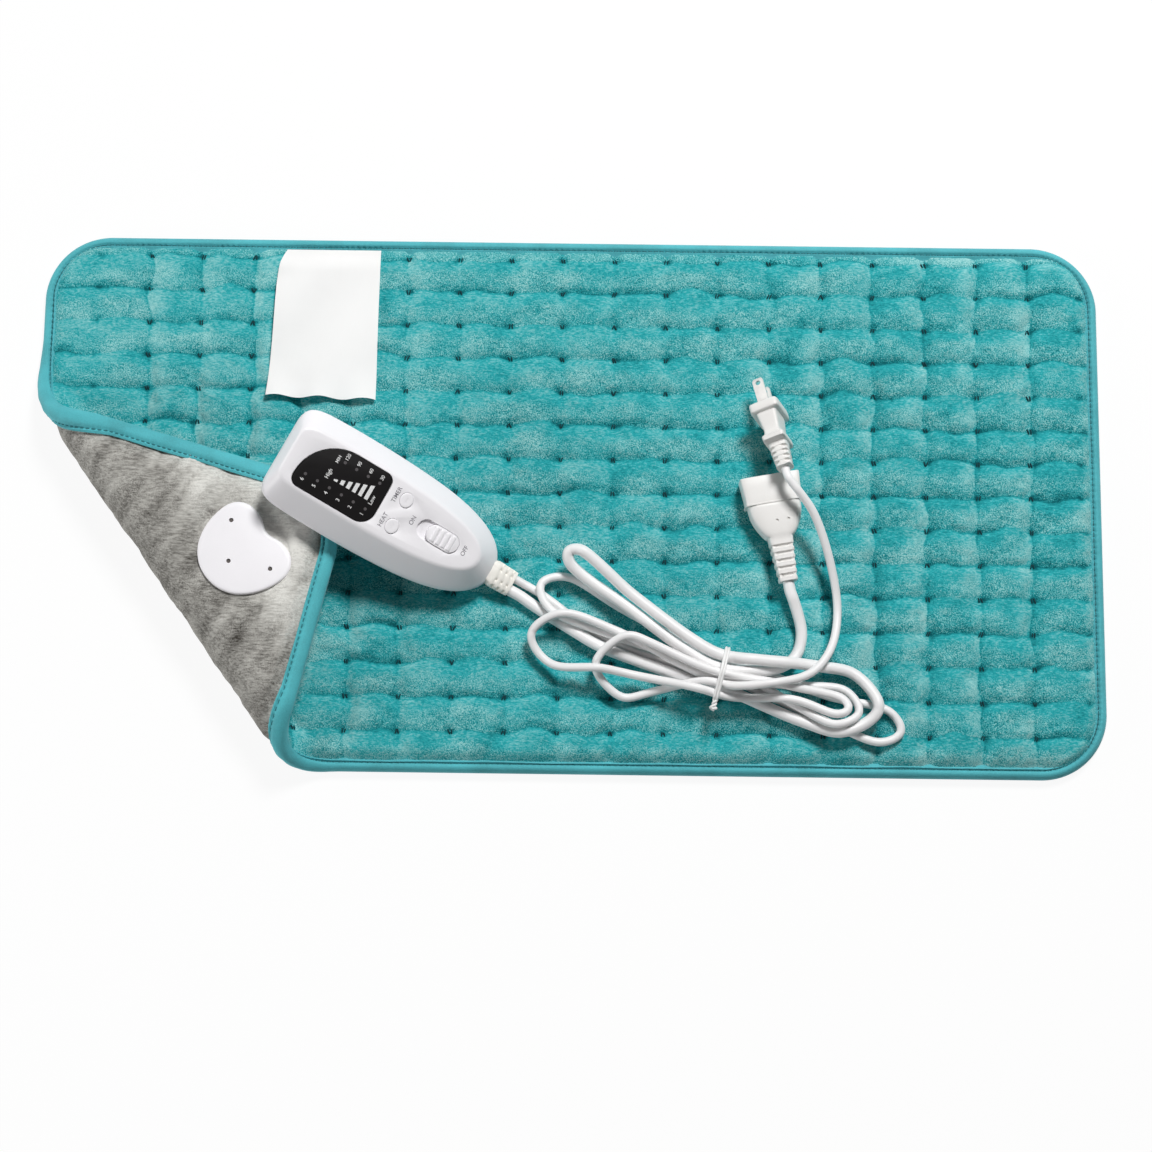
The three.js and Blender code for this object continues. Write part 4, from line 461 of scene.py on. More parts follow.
FINISHED = {}


def finish_of(maker):
    """The material of a finish, made when it is first used."""
    if maker not in FINISHED:
        FINISHED[maker] = maker()
    return FINISHED[maker]


# Mesh building


def placed(name, data):
    """A new object in the scene."""
    made = bpy.data.objects.new(name, data)
    bpy.context.scene.collection.objects.link(made)
    return made


def piece_of(name, points, faces, maker, sharp=35.0):
    """A mesh object from points and faces, smooth up to a sharp angle in degrees."""
    mesh = bpy.data.meshes.new(name)
    mesh.from_pydata([tuple(p) for p in points], [], faces)
    mesh.validate()
    mesh.materials.append(finish_of(maker))
    made = placed(name, mesh)
    soften(made, sharp)
    return made


def soften(made, sharp):
    """Smooth shading, up to a sharp angle in degrees."""
    made.data.polygons.foreach_set("use_smooth", [True] * len(made.data.polygons))
    made.data.set_sharp_from_angle(angle=math.radians(sharp))
    made.data.update()


def settle(made, sharp=35.0):
    """Applies a piece's modifiers to its mesh."""
    graph = bpy.context.evaluated_depsgraph_get()
    mesh = bpy.data.meshes.new_from_object(made.evaluated_get(graph), depsgraph=graph)
    made.modifiers.clear()
    made.data = mesh
    soften(made, sharp)


def carve(made, tools, operation="DIFFERENCE", sharp=35.0):
    """Cuts tools out of a piece, or joins them to it, and removes the tools."""
    for tool in tools:
        step = made.modifiers.new("carve", "BOOLEAN")
        step.object = tool
        step.operation = operation
        step.solver = "EXACT"
    settle(made, sharp)
    for tool in tools:
        bpy.data.objects.remove(tool)


def round_edges(made, width, angle, sharp=50.0):
    """Rounds the edges that are sharper than an angle in degrees."""
    step = made.modifiers.new("edges", "BEVEL")
    step.width = width
    step.segments = 2
    step.limit_method = "ANGLE"
    step.angle_limit = math.radians(angle)
    step.use_clamp_overlap = True
    settle(made, sharp)


def moved(points, matrix):
    """Points carried by a matrix, as an array."""
    turn = np.array(matrix.to_3x3())
    return np.asarray(points, float) @ turn.T + np.array(matrix.translation)


def loft(rings):
    """Skins a row of rings of equal count and closes both ends."""
    count = len(rings[0])
    points = np.concatenate([np.asarray(ring, float) for ring in rings])
    faces = []
    for start in range(0, (len(rings) - 1) * count, count):
        for i in range(count):
            j = (i + 1) % count
            faces.append((start + i, start + j, start + count + j, start + count + i))
    last = (len(rings) - 1) * count
    faces.append(tuple(range(count - 1, -1, -1)))
    faces.append(tuple(range(last, last + count)))
    return points, faces


def joined(*parts):
    """Several sets of points and faces as one."""
    points, faces, start = [], [], 0
    for part_points, part_faces in parts:
        points.append(np.asarray(part_points, float))
        faces += [tuple(start + i for i in face) for face in part_faces]
        start += len(part_points)
    return np.concatenate(points), faces


def hermite(t, start, end, leave, arrive):
    """A point between two others, on a curve with given slopes at both."""
    second = 3 * (end - start) - 2 * leave - arrive
    third = 2 * (start - end) + leave + arrive
    return start + t * leave + t * t * second + t**3 * third


def smooth_levels(levels, steps):
    """Rows of numbers with soft rows put in between."""
    rows = np.asarray(levels, float)
    out = []
    for i in range(len(rows) - 1):
        before, after = rows[max(0, i - 1)], rows[min(len(rows) - 1, i + 2)]
        leave, arrive = (rows[i + 1] - before) / 2, (after - rows[i]) / 2
        out += [hermite(k / steps, rows[i], rows[i + 1], leave, arrive) for k in range(steps)]
    out.append(rows[-1])
    return np.array(out)


def rounded_levels(levels, cut, steps=5):
    """Rows of numbers whose inner corners are rounded, each from a distance before it to one after it."""
    rows = np.asarray(levels, float)
    out = [rows[0]]
    for before, corner, after in zip(rows, rows[1:], rows[2:]):
        starts = [corner + (end - corner) * min(0.45, cut / np.linalg.norm(end - corner)) for end in (before, after)]
        shares = np.linspace(0, 1, steps + 1)
        out += [(1 - t) ** 2 * starts[0] + 2 * t * (1 - t) * corner + t * t * starts[1] for t in shares]
    return np.array([*out, rows[-1]])


def bezier_points(start, curves, steps):
    """Points along a closed chain of cubic curves."""
    points, at = [], np.asarray(start, float)
    for a, b, c in curves:
        a, b, c = (np.asarray(p, float) for p in (a, b, c))
        for k in range(steps):
            t = k / steps
            points.append((1 - t) ** 3 * at + 3 * t * (1 - t) ** 2 * a + 3 * t * t * (1 - t) * b + t**3 * c)
        at = c
    return np.array(points)


def rounded_box(x0, x1, y0, y1, radii, steps=10):
    """A rectangle's outline, in mm, with a radius for each corner: near right, far right, far left, near left."""
    corners = [(x0, y0, 180, radii[0]), (x1, y0, 270, radii[1]), (x1, y1, 0, radii[2]), (x0, y1, 90, radii[3])]
    points = []
    for x, y, start, radius in corners:
        middle_x = x + radius * (1 if x == x0 else -1)
        middle_y = y + radius * (1 if y == y0 else -1)
        for k in range(steps + 1):
            angle = math.radians(start + 90 * k / steps)
            points.append((middle_x + radius * math.cos(angle), middle_y + radius * math.sin(angle)))
    return np.array(points) * MM


def ellipse(x, y, half_x, half_y, count):
    """An ellipse in plan, its place and half sizes in mm."""
    angles = np.linspace(0, 2 * math.pi, count, endpoint=False)
    return np.stack([x + half_x * np.cos(angles), y + half_y * np.sin(angles)], 1) * MM


def raised(outline, z):
    """An outline in plan at a height."""
    return np.column_stack([outline, np.full(len(outline), z)])


def prism(outline, z0, z1):
    """An outline carried up from one height to another."""
    return loft([raised(outline, z0), raised(outline, z1)])


def stepped(outline_at, levels, height=0.0):
    """An outline that is drawn in by a margin at each level over a height, both in mm."""
    return loft([raised(outline_at(margin), height + z * MM) for z, margin in levels])


RING_POINTS = 48
SPINE_WIDTH = 0.22
RIB_PROFILE = ((0.0, 0.35), (0.06, 0.0), (0.5, 0.0), (0.58, 0.35), (0.66, 1.0), (0.94, 1.0))


def between(ends, share):
    """A value a share of the way from one end to the other."""
    return ends[0] + (ends[1] - ends[0]) * share


def oval_ring(x, half_width, half_height, squareness, count=RING_POINTS):
    """A ring round the X axis between an ellipse and a rectangle in form, its sizes in mm."""
    angles = 2 * math.pi * (np.arange(count) + 0.5) / count
    c, s = np.cos(angles), np.sin(angles)
    y = half_width * np.sign(c) * np.abs(c) ** (2 / squareness)
    z = half_height * np.sign(s) * np.abs(s) ** (2 / squareness)
    return np.column_stack([np.full(count, x), y, z]) * MM


def ribbed_rings(x0, x1, ribs, start_half, end_half, depth, squareness, spines):
    """A ribbed, tapering sleeve along X, its grooves bridged along spines at given angles, its sizes in mm."""
    rings = []
    angles = 2 * math.pi * (np.arange(RING_POINTS) + 0.5) / RING_POINTS
    open_to = np.ones(RING_POINTS)
    for spine in spines:
        off = np.angle(np.exp(1j * (angles - math.radians(spine))))
        open_to *= 1 - np.exp(-((off / SPINE_WIDTH) ** 4))
    pitch = (x1 - x0) / ribs
    for i in range(ribs):
        share = i / max(1, ribs - 1)
        half = [between(ends, share) for ends in zip(start_half, end_half)]
        for run, sunk in RIB_PROFILE if i + 1 < ribs else RIB_PROFILE[:3]:
            ring = oval_ring(x0 + (i + run) * pitch, *half, squareness)
            ring[:, 1:] *= (1 - sunk * depth / min(half) * open_to)[:, None]
            rings.append(ring)
    return rings


def tube(path, radius, sides=12, closed=False):
    """A round tube along a path."""
    path = np.asarray(path, float)
    ahead = np.roll(path, -1, 0) - np.roll(path, 1, 0)
    if not closed:
        ahead[0], ahead[-1] = path[1] - path[0], path[-1] - path[-2]
    ahead /= np.linalg.norm(ahead, axis=1, keepdims=True)
    up = np.array((0.0, 0.0, 1.0))
    if abs(ahead[0] @ up) > 0.9:
        up = np.array((1.0, 0.0, 0.0))
    rings = []
    for p, t in zip(path, ahead):
        up = up - (up @ t) * t
        up /= np.linalg.norm(up)
        side = np.cross(t, up)
        angles = 2 * math.pi * np.arange(sides) / sides
        rings.append(p + radius * (np.outer(np.cos(angles), up) + np.outer(np.sin(angles), side)))
    points, faces = loft(rings)
    if closed:
        last = (len(rings) - 1) * sides
        faces = faces[:-2]
        faces += [(last + i, last + (i + 1) % sides, (i + 1) % sides, i) for i in range(sides)]
    return points, faces


def dress(made, body="pad", replaced=()):
    """Puts a piece on its body and hides the nodes it stands for."""
    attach(made, body)
    if replaced:
        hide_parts(*replaced)
    return made


# The folded pad

PAD_TOP = 11.5 * MM
SEAT_GAP = 0.3 * MM
FOLD_TURN = math.radians(-54.3)
FOLD_ALONG = np.array((math.cos(FOLD_TURN), math.sin(FOLD_TURN)))
FOLD_ACROSS = np.array((FOLD_ALONG[1], -FOLD_ALONG[0]))
FOLD_START = 193.4 * MM
FOLD_SKEW = 0.155
BEND_HEIGHT = 21.0 * MM
BEND_ANGLE = math.pi + math.radians(6)
BEND_LENGTH = (BEND_HEIGHT - PAD_TOP / 2) * BEND_ANGLE
FOLD_EASE = 24 * MM


def past_fold(u, v):
    """How far a point of the open pad lies beyond the start of the fold."""
    return u * FOLD_ACROSS[0] + v * FOLD_ACROSS[1] - FOLD_START


def folded(points):
    """Carries points of the open pad into its folded lie."""
    u, v, w = np.asarray(points, float).T
    past = past_fold(u, v)
    turn = np.clip(past, 0, BEND_LENGTH)
    beyond = np.maximum(past - BEND_LENGTH, 0)
    angle = BEND_ANGLE * turn / BEND_LENGTH
    arm = BEND_HEIGHT - w
    across = np.where(past <= 0, past, arm * np.sin(angle) + beyond * math.cos(BEND_ANGLE))
    up = np.where(past <= 0, w, BEND_HEIGHT - arm * np.cos(angle) + beyond * math.sin(BEND_ANGLE))
    slide = FOLD_SKEW * turn**2 / (2 * BEND_LENGTH) + FOLD_SKEW * beyond
    along = u * FOLD_ALONG[0] + v * FOLD_ALONG[1] - slide
    return np.column_stack([np.outer(FOLD_START + across, FOLD_ACROSS) + np.outer(along, FOLD_ALONG), up])


def folded_grid(grid):
    """A grid of points of the open pad, carried into its folded lie."""
    return folded(grid.reshape(-1, 3)).reshape(grid.shape)


def eased(value):
    """A soft step from 0 to 1."""
    t = np.clip(value, 0, 1)
    return t * t * (3 - 2 * t)


def lifted(u, v):
    """0 where the pad lies flat, 1 where it has left the floor."""
    return eased((past_fold(u, v) + FOLD_EASE / 2) / FOLD_EASE)


def edge_gap(u, v):
    """Distance of points of the open pad from its rounded outline."""
    pad = bpy.context.scene.heating_pad
    over_u = np.abs(u) - (pad.length / 2 - pad.corner)
    over_v = np.abs(v) - (pad.width / 2 - pad.corner)
    round_gap = pad.corner - np.hypot(np.maximum(over_u, 0), np.maximum(over_v, 0))
    straight_gap = pad.corner - np.maximum(over_u, over_v)
    return np.where((over_u > 0) & (over_v > 0), round_gap, straight_gap)


TACK_COLUMNS, TACK_ROWS = 18, 15
TACK_MARGINS = {"left": 62 * MM, "right": 41 * MM, "bottom": 22.6 * MM, "top": 12.6 * MM}
TACK_HEIGHT = 9.1 * MM
COVER_INSET = 2.4 * MM
RIM_INSET = 5.2 * MM
EDGE_HEIGHT = 6.0 * MM
EDGE_SLOPE = 3.0 * MM
LEAST_PILE = 0.7 * MM
QUILT_STEP = 5.0 * MM
FINER = 3


def tack_lines():
    """Columns and rows of the tack stitches on the open pad."""
    pad = bpy.context.scene.heating_pad
    half_length, half_width, margins = pad.length / 2, pad.width / 2, TACK_MARGINS
    columns = np.linspace(-half_length + margins["left"], half_length - margins["right"], TACK_COLUMNS)
    rows = np.linspace(-half_width + margins["bottom"], half_width - margins["top"], TACK_ROWS)
    return columns, rows


def quilt_lines(stops, half):
    """Grid lines through all tack stitches and both edges, about a step apart."""
    ends = [-half + COVER_INSET, -half + RIM_INSET, *stops, half - RIM_INSET, half - COVER_INSET]
    lines = [ends[0]]
    for a, b in zip(ends, ends[1:]):
        lines += list(np.linspace(a, b, max(1, round((b - a) / QUILT_STEP)) + 1)[1:])
    return np.array(lines)


def quilt_plan():
    """The open pad as a grid in plan, drawn in round its corners, and where the tack stitches hold it."""
    pad = bpy.context.scene.heating_pad
    columns, rows = tack_lines()
    across, along = quilt_lines(columns, pad.length / 2), quilt_lines(rows, pad.width / 2)
    u, v = np.meshgrid(across, along, indexing="ij")
    radius = pad.corner - COVER_INSET
    over = np.maximum(np.abs(v) - (pad.width / 2 - pad.corner), 0)
    reach = pad.length / 2 - pad.corner + np.sqrt(np.maximum(radius**2 - over**2, 0))
    keep = pad.length / 2 - 2 * pad.corner
    full = pad.length / 2 - COVER_INSET
    outer = np.abs(u) > keep
    u = np.where(outer, np.sign(u) * (keep + (np.abs(u) - keep) * (reach - keep) / (full - keep)), u)
    in_column = np.isclose(u[:, :, None], columns, atol=1e-6).any(2)
    in_row = np.isclose(v[:, :, None], rows, atol=1e-6).any(2)
    return u, v, in_column & in_row


QUILT_FRAMES = 14
QUILT_SLACK, QUILT_SPREAD = 0.0012, 0.0006
QUILT_CLOTH = {
    "vertex_group_mass": "held", "quality": 6, "mass": 0.3, "tension_stiffness": 15, "compression_stiffness": 15,
    "shear_stiffness": 5, "bending_stiffness": 0.5, "shrink_min": -0.04, "use_pressure": True,
    "uniform_pressure_force": 800,
}


def puffed(u, v, tacked, base, seed):
    """Blows up a stitched sheet of cloth between its tacks and gives the rise of each point."""
    held = tacked | (edge_gap(u, v) <= RIM_INSET + 0.1 * MM)
    loose = np.random.default_rng(seed).random(u.shape) * QUILT_SPREAD + QUILT_SLACK
    start = np.stack([u, v, base + np.where(held, 0, loose)], 2).reshape(-1, 3)
    mesh = bpy.data.meshes.new("quilt")
    mesh.from_pydata(start.tolist(), [], grid_faces(*u.shape))
    cloth_piece = placed("quilt", mesh)
    group = cloth_piece.vertex_groups.new(name="held")
    group.add([int(i) for i in np.nonzero(held.ravel())[0]], 1.0, "REPLACE")
    cloth = cloth_piece.modifiers.new("cloth", "CLOTH")
    for name, value in QUILT_CLOTH.items():
        setattr(cloth.settings, name, value)
    cloth.settings.effector_weights.gravity = 0
    cloth.collision_settings.use_collision = False
    cloth.point_cache.frame_start = 1
    cloth.point_cache.frame_end = QUILT_FRAMES
    for number in range(1, QUILT_FRAMES + 1):
        bpy.context.scene.frame_set(number)
    graph = bpy.context.evaluated_depsgraph_get()
    blown = cloth_piece.evaluated_get(graph).to_mesh()
    places = np.empty(len(blown.vertices) * 3)
    blown.vertices.foreach_get("co", places)
    bpy.data.objects.remove(cloth_piece)
    bpy.context.scene.frame_set(1)
    return places.reshape(*u.shape, 3)[:, :, 2] - base


def grid_faces(rows, columns):
    """Four-sided faces of a grid of points."""
    corner = np.arange(rows * columns).reshape(rows, columns)[:-1, :-1].ravel()
    return [(int(a), int(a) + columns, int(a) + columns + 1, int(a) + 1) for a in corner]


def finer(grid):
    """A grid with soft rows and columns put in between."""
    rows = smooth_levels(grid, FINER)
    return np.swapaxes(smooth_levels(np.swapaxes(rows, 0, 1), FINER), 0, 1)


def grid_rim(rows, columns):
    """Indices round the edge of a grid, anticlockwise."""
    index = np.arange(rows * columns).reshape(rows, columns)
    return [*index[:-1, 0], *index[-1, :-1], *index[:0:-1, -1], *index[0, :0:-1]]


def shell_piece(name, outer, lining, maker, painted, outward):
    """A closed cover: a fine outer face, a coarser lining and the rim between them."""
    rows, columns = outer.shape[:2]
    count = rows * columns
    faces = grid_faces(rows, columns)
    faces += [tuple(count + i for i in reversed(face)) for face in grid_faces(*lining.shape[:2])]
    fine_rim = [int(i) for i in grid_rim(rows, columns)]
    coarse_rim = [count + int(i) for i in grid_rim(*lining.shape[:2])]
    for k, here in enumerate(coarse_rim):
        stretch = [fine_rim[(k * FINER + s) % len(fine_rim)] for s in range(FINER, -1, -1)]
        faces.append((*stretch, here, coarse_rim[(k + 1) % len(coarse_rim)]))
    if outward < 0:
        faces = [tuple(reversed(face)) for face in faces]
    points = np.concatenate([outer.reshape(-1, 3), lining.reshape(-1, 3)])
    made = piece_of(name, points, faces, maker, sharp=75.0)
    for label, values in painted.items():
        paint = made.data.attributes.new(label, "FLOAT", "POINT")
        whole = np.concatenate([values.ravel(), np.full(lining.shape[0] * lining.shape[1], 0.5)])
        paint.data.foreach_set("value", whole.astype(np.float32))
    return made


def field(u, v, size, seed, stretch=(1.0, 1.0), lean=0.0):
    """Soft noise over the open pad in patches of a size in mm, about from -1 to 1."""
    c, s = math.cos(lean), math.sin(lean)
    along = (u * c + v * s) / (size * MM * stretch[0])
    across = (v * c - u * s) / (size * MM * stretch[1])
    values = [noise.noise((a, b, seed)) for a, b in zip(along.ravel().tolist(), across.ravel().tolist())]
    return np.array(values).reshape(u.shape)


def tack_nearness(u, v, size):
    """1 at a tack stitch, falling off softly with the distance from it."""
    columns, rows = tack_lines()
    near_u = np.abs(u[:, :, None] - columns).min(2)
    near_v = np.abs(v[:, :, None] - rows).min(2)
    return np.exp(-(near_u**2 + near_v**2) / size**2)


SAG, SAG_DROP, WANDER = 5.0 * MM, 0.6 * MM, 4.0 * MM
SAG_PATCH, WANDER_PATCH = 24, 20
PILLOW_START, PILLOW_RUN, PILLOW_END = 50 * MM, 120 * MM, 9 * MM
PILLOW_LEAST = 0.2


def row_phase(u, v):
    """Where points lie between two rows of tacks, from 0 below the upper row to 1 above the lower."""
    columns, rows = tack_lines()
    between = np.abs(np.sin(math.pi * (u - columns[0]) / (columns[1] - columns[0])))
    sag = SAG * field(u, v, SAG_PATCH, 41.0, stretch=(1.0, 0.7)) * between - SAG_DROP * between
    place = (v + sag - rows[0]) / (rows[1] - rows[0])
    return 1 - (place - np.floor(place))


def cell_share(u, v):
    """Where points lie between two columns of tacks, from 0 at the inner one to 1 at the one nearer the pad's end."""
    columns, _ = tack_lines()
    wander = WANDER * field(u, v, WANDER_PATCH, 45.0, stretch=(1.4, 0.8))
    place = (u + wander - columns[0]) / (columns[1] - columns[0])
    share = place - np.floor(place)
    return np.where(u < columns.mean(), 1 - share, share)


def towards_ends(u):
    """How much the cells stand out as pillows: little in the pad's middle, fully at the outer columns, not beyond."""
    columns, _ = tack_lines()
    out = np.abs(u - columns.mean())
    beyond = eased((out - (columns[-1] - columns[0]) / 2) / PILLOW_END)
    return (PILLOW_LEAST + (1 - PILLOW_LEAST) * eased((out - PILLOW_START) / PILLOW_RUN)) * (1 - beyond)


def by_turn(value, half):
    """1 where a value that runs round turns from 1 to 0, falling off softly over half a width."""
    off = np.abs((value + 0.5) % 1 - 0.5)
    return np.exp(-((off / half) ** 2))


FULL_SWELL = 92
FRONT_VERGE, BACK_VERGE = 3 * MM, 4 * MM
FRONT_LINING = 1.6 * MM
PIT_DEPTH, PIT_SIZE = 1.0 * MM, 2.6 * MM
WRINKLE_HEIGHT = 0.6 * MM
SHEEN_STRIP_GAP, SHEEN_STRIP_WIDTH = 8 * MM, 4 * MM
THREAD_RADIUS, THREAD_SIDES = 0.42 * MM, 6
TACK_ARCH = ((-1.0, 0.1), (-0.4, 0.45), (0.4, 0.45), (1.0, 0.1))
SOCKET_PLACE = (-254.2 * MM, -99.4 * MM)
PRESSED_RADIUS, PRESSED_EDGE = 27 * MM, 8 * MM
BACK_LINING, BACK_SEWN = 3.0 * MM, 1.35 * MM
FLOOR_GAP = 0.05 * MM
FLAP_FOLD = 2.2 * MM


def domed(swell, height, fullness):
    """The rise of a blown-up cover, held to a height."""
    return height * np.tanh(fullness * swell / np.percentile(swell, FULL_SWELL))


def pressed(u, v):
    """1 under the socket plate, 0 away from it."""
    away = np.hypot(u - SOCKET_PLACE[0], v - SOCKET_PLACE[1])
    return 1 - eased((away - PRESSED_RADIUS) / PRESSED_EDGE)


class PAD_OT_covers(bpy.types.Operator):
    """Quilted front and back covers, blown up between their tack stitches and laid in the fold"""

    bl_idname = "heating_pad.covers"
    bl_label = "Plush covers"

    def execute(self, context):
        u, v, tacked = quilt_plan()
        rise = eased((edge_gap(u, v) - RIM_INSET) / EDGE_SLOPE)
        base = between((EDGE_HEIGHT, TACK_HEIGHT), rise)
        swell = puffed(u, v, tacked, base, seed=5)
        self.front(context, u, v, base, swell)
        self.back(context, u, v, swell)
        return {"FINISHED"}

    def front(self, context, u, v, base, swell):
        pad = context.scene.heating_pad
        fine = finer(np.stack([u, v, base + domed(swell, pad.puff, 1.15)], 2))
        fine_u, fine_v, heights = np.moveaxis(fine, 2, 0)
        patch = partial(field, fine_u, fine_v)
        inside = eased((edge_gap(fine_u, fine_v) - RIM_INSET) / FRONT_VERGE)
        phase, share = row_phase(fine_u, fine_v), cell_share(fine_u, fine_v)
        nearest_row = np.abs(fine_v[:, :, None] - tack_lines()[1]).argmin(2)
        drawn = 0.3 + 0.3 * (nearest_row % 2) + 1.1 * patch(30, 12.0, stretch=(1.4, 0.5))
        drawn = np.clip(drawn, 0.04, 1)
        pillow = towards_ends(fine_u) * np.clip(0.78 + 0.8 * patch(28, 83.0, stretch=(0.8, 1.3)), 0.1, 1)
        sunk = 1.4 * drawn * by_turn(phase, 0.1) + 1.7 * pillow * by_turn(share, 0.12)
        heights -= (pad.crease * sunk + PIT_DEPTH * tack_nearness(fine_u, fine_v, PIT_SIZE)) * inside
        clumps = patch(6, 3.0) + 0.6 * patch(3.2, 8.0)
        wrinkles = patch(26, 51.0, stretch=(2.0, 0.5), lean=1.1)
        heights += (pad.pile * clumps + WRINKLE_HEIGHT * wrinkles) * inside
        np.maximum(heights, finer(np.stack([u, v, base], 2))[:, :, 2] - LEAST_PILE, out=heights)
        patches = patch(14, 27.0, stretch=(1.2, 0.9))
        # painted sheen: a pale strip along the plush next to the tape, on the pad's right part
        rim = np.exp(-(((edge_gap(fine_u, fine_v) - SHEEN_STRIP_GAP) / SHEEN_STRIP_WIDTH) ** 2))
        rim *= eased((fine_u - 150 * MM) / (90 * MM))
        along = fine_u / pad.length
        turned = 0.6 + 0.3 * along + 0.7 * patch(26, 21.0, stretch=(1.5, 0.8)) + 0.2 * patches
        # The tone value mixes random patches and a darkening towards the pad's right end with painted shade that
        # follows the wrinkles' rise, and the painted sheen strip.
        painted = {
            "nap": 0.53 + 0.1 * patches + 0.08 * wrinkles - 0.1 * along + 0.2 * rim,
            "turned": np.clip(turned, 0.05, 1),
            "frost": np.clip(0.7 + 0.9 * patch(18, 61.0), 0, 1),
            "drawn": drawn,
            "pillow": pillow,
        }
        for name, value in (("row", phase), ("column", share)):
            painted[f"{name}_sine"] = np.sin(2 * math.pi * value)
            painted[f"{name}_cosine"] = np.cos(2 * math.pi * value)
        lining = np.stack([u, v, base - FRONT_LINING - (base - EDGE_HEIGHT) * 0.2], 2)
        made = shell_piece("plush_front", folded_grid(fine), folded_grid(lining), teal_plush, painted, outward=1)
        dress(made, replaced=["pad_front_cover"])
        self.tacks(fine)

    def tacks(self, fine):
        """Two short threads in the pit of each tack stitch."""
        pit = np.random.default_rng(11)
        columns, rows = tack_lines()
        parts = []
        for u in columns:
            for v in rows:
                away = np.hypot(fine[:, :, 0] - u, fine[:, :, 1] - v)
                low = fine[np.unravel_index(away.argmin(), away.shape)][2]
                for side in (-1, 1):
                    lean = pit.uniform(-0.5, 0.5)
                    shift = side * 0.7 * MM + pit.uniform(-0.2, 0.2) * MM
                    reach = pit.uniform(0.9, 1.4) * MM
                    arch = [
                        (u + shift + lean * run * reach, v + run * reach, low + rise * MM) for run, rise in TACK_ARCH
                    ]
                    parts.append(tube(folded(arch), THREAD_RADIUS, THREAD_SIDES))
        made = piece_of("tack_stitches", *joined(*parts), tack_thread, sharp=80.0)
        dress(made)

    def back(self, context, u, v, swell):
        pad = context.scene.heating_pad
        bulge = domed(swell, 0.6 * pad.puff, 0.5 / 0.6)
        sewn = eased((edge_gap(u, v) - COVER_INSET - 8 * MM) / (5 * MM))
        low = BACK_SEWN * (1 - sewn) - bulge * lifted(u, v) * sewn * (1 - pressed(u, v))
        fine = finer(np.stack([u, v, low], 2))
        fine_u, fine_v, heights = np.moveaxis(fine, 2, 0)
        patch = partial(field, fine_u, fine_v)
        lift = lifted(fine_u, fine_v)
        inside = eased((edge_gap(fine_u, fine_v) - RIM_INSET) / BACK_VERGE)
        past = past_fold(fine_u, fine_v) - BEND_LENGTH
        away = eased(past / (26 * MM))
        folds = patch(30, 2.0, stretch=(2.4, 0.7), lean=FOLD_TURN + 0.5) * away
        folds += 0.7 * patch(17, 71.0, stretch=(2.0, 0.7), lean=0.35) * away
        clumps = patch(6, 5.0) + 0.6 * patch(3.2, 9.0)
        sewn_down = tack_nearness(fine_u, fine_v, 5.0 * MM) * np.clip(0.5 + 1.2 * patch(24, 93.0), 0, 1)
        ruck = np.abs(patch(26, 97.0, stretch=(1.8, 0.8), lean=0.35))
        ruck = np.clip(1 - ruck / 0.1, 0, 1) * away
        relief = FLAP_FOLD * folds + pad.pile * clumps - (1.8 * sewn_down + 0.8 * ruck) * MM * away
        heights -= relief * lift * inside * (1 - pressed(fine_u, fine_v))
        heights[...] = np.where(lift > 0.02, heights, np.maximum(heights, FLOOR_GAP))
        # painted shade: darker along the fold's roll, in the hollows between the folds, at the sewn-down tacks and
        # along the rucks
        fold_shade = 1 - eased((past + 4 * MM) / (40 * MM))
        nap = 0.7 + 0.3 * folds + 0.22 * patch(11, 31.0, stretch=(2.0, 0.6), lean=0.5)
        nap -= fold_shade * lift * (0.34 + 0.14 * sewn_down + 0.2 * ruck) + 0.1 * sewn_down + 0.2 * ruck
        painted = {"nap": nap, "speckle": np.clip(0.2 + 0.35 * patch(14, 33.0), 0.05, 0.7)}
        lining = np.stack([u, v, np.full(u.shape, BACK_LINING)], 2)
        outer = folded_grid(fine)
        outer[:, :, 2] = np.maximum(outer[:, :, 2], FLOOR_GAP)
        made = shell_piece("plush_back", outer, folded_grid(lining), grey_plush, painted, outward=-1)
        dress(made, replaced=["pad_back_cover"])


# Sewn edge


def pad_ring(inset, count):
    """Points round the pad's outline at an inset, evenly by run, with their directions."""
    pad = bpy.context.scene.heating_pad
    flat_u, flat_v = pad.length - 2 * pad.corner, pad.width - 2 * pad.corner
    arc = math.pi / 2 * pad.corner
    ends = np.cumsum([0, flat_u, arc, flat_v, arc, flat_u, arc, flat_v, arc])
    runs = np.arange(count) * ends[-1] / count
    heading = np.interp(runs, ends, np.arange(len(ends)) // 2 * math.pi / 2)
    middle_u = np.interp(runs, ends, (-1, 1, 1, 1, 1, -1, -1, -1, -1)) * flat_u / 2
    middle_v = np.interp(runs, ends, (-1, -1, -1, 1, 1, 1, 1, -1, -1)) * flat_v / 2
    out = pad.corner - inset
    return np.column_stack([middle_u + out * np.sin(heading), middle_v - out * np.cos(heading), heading]), runs


BINDING_TOP, BINDING_LOW, BINDING_THICKNESS = 7.2, 0.15, 0.9
SEAM_INSETS = {"front": 5.2 * MM, "back": 2.0 * MM}
SEAM_RADIUS, SEAM_HALF = 0.3 * MM, 1.15 * MM
SEAM_ARCH = ((-1.0, -0.35), (-0.5, 0.1), (0.5, 0.1), (1.0, -0.35))
SEAM_START = 10 * MM
PER_STITCH = 4
GATHER = 0.45 * MM


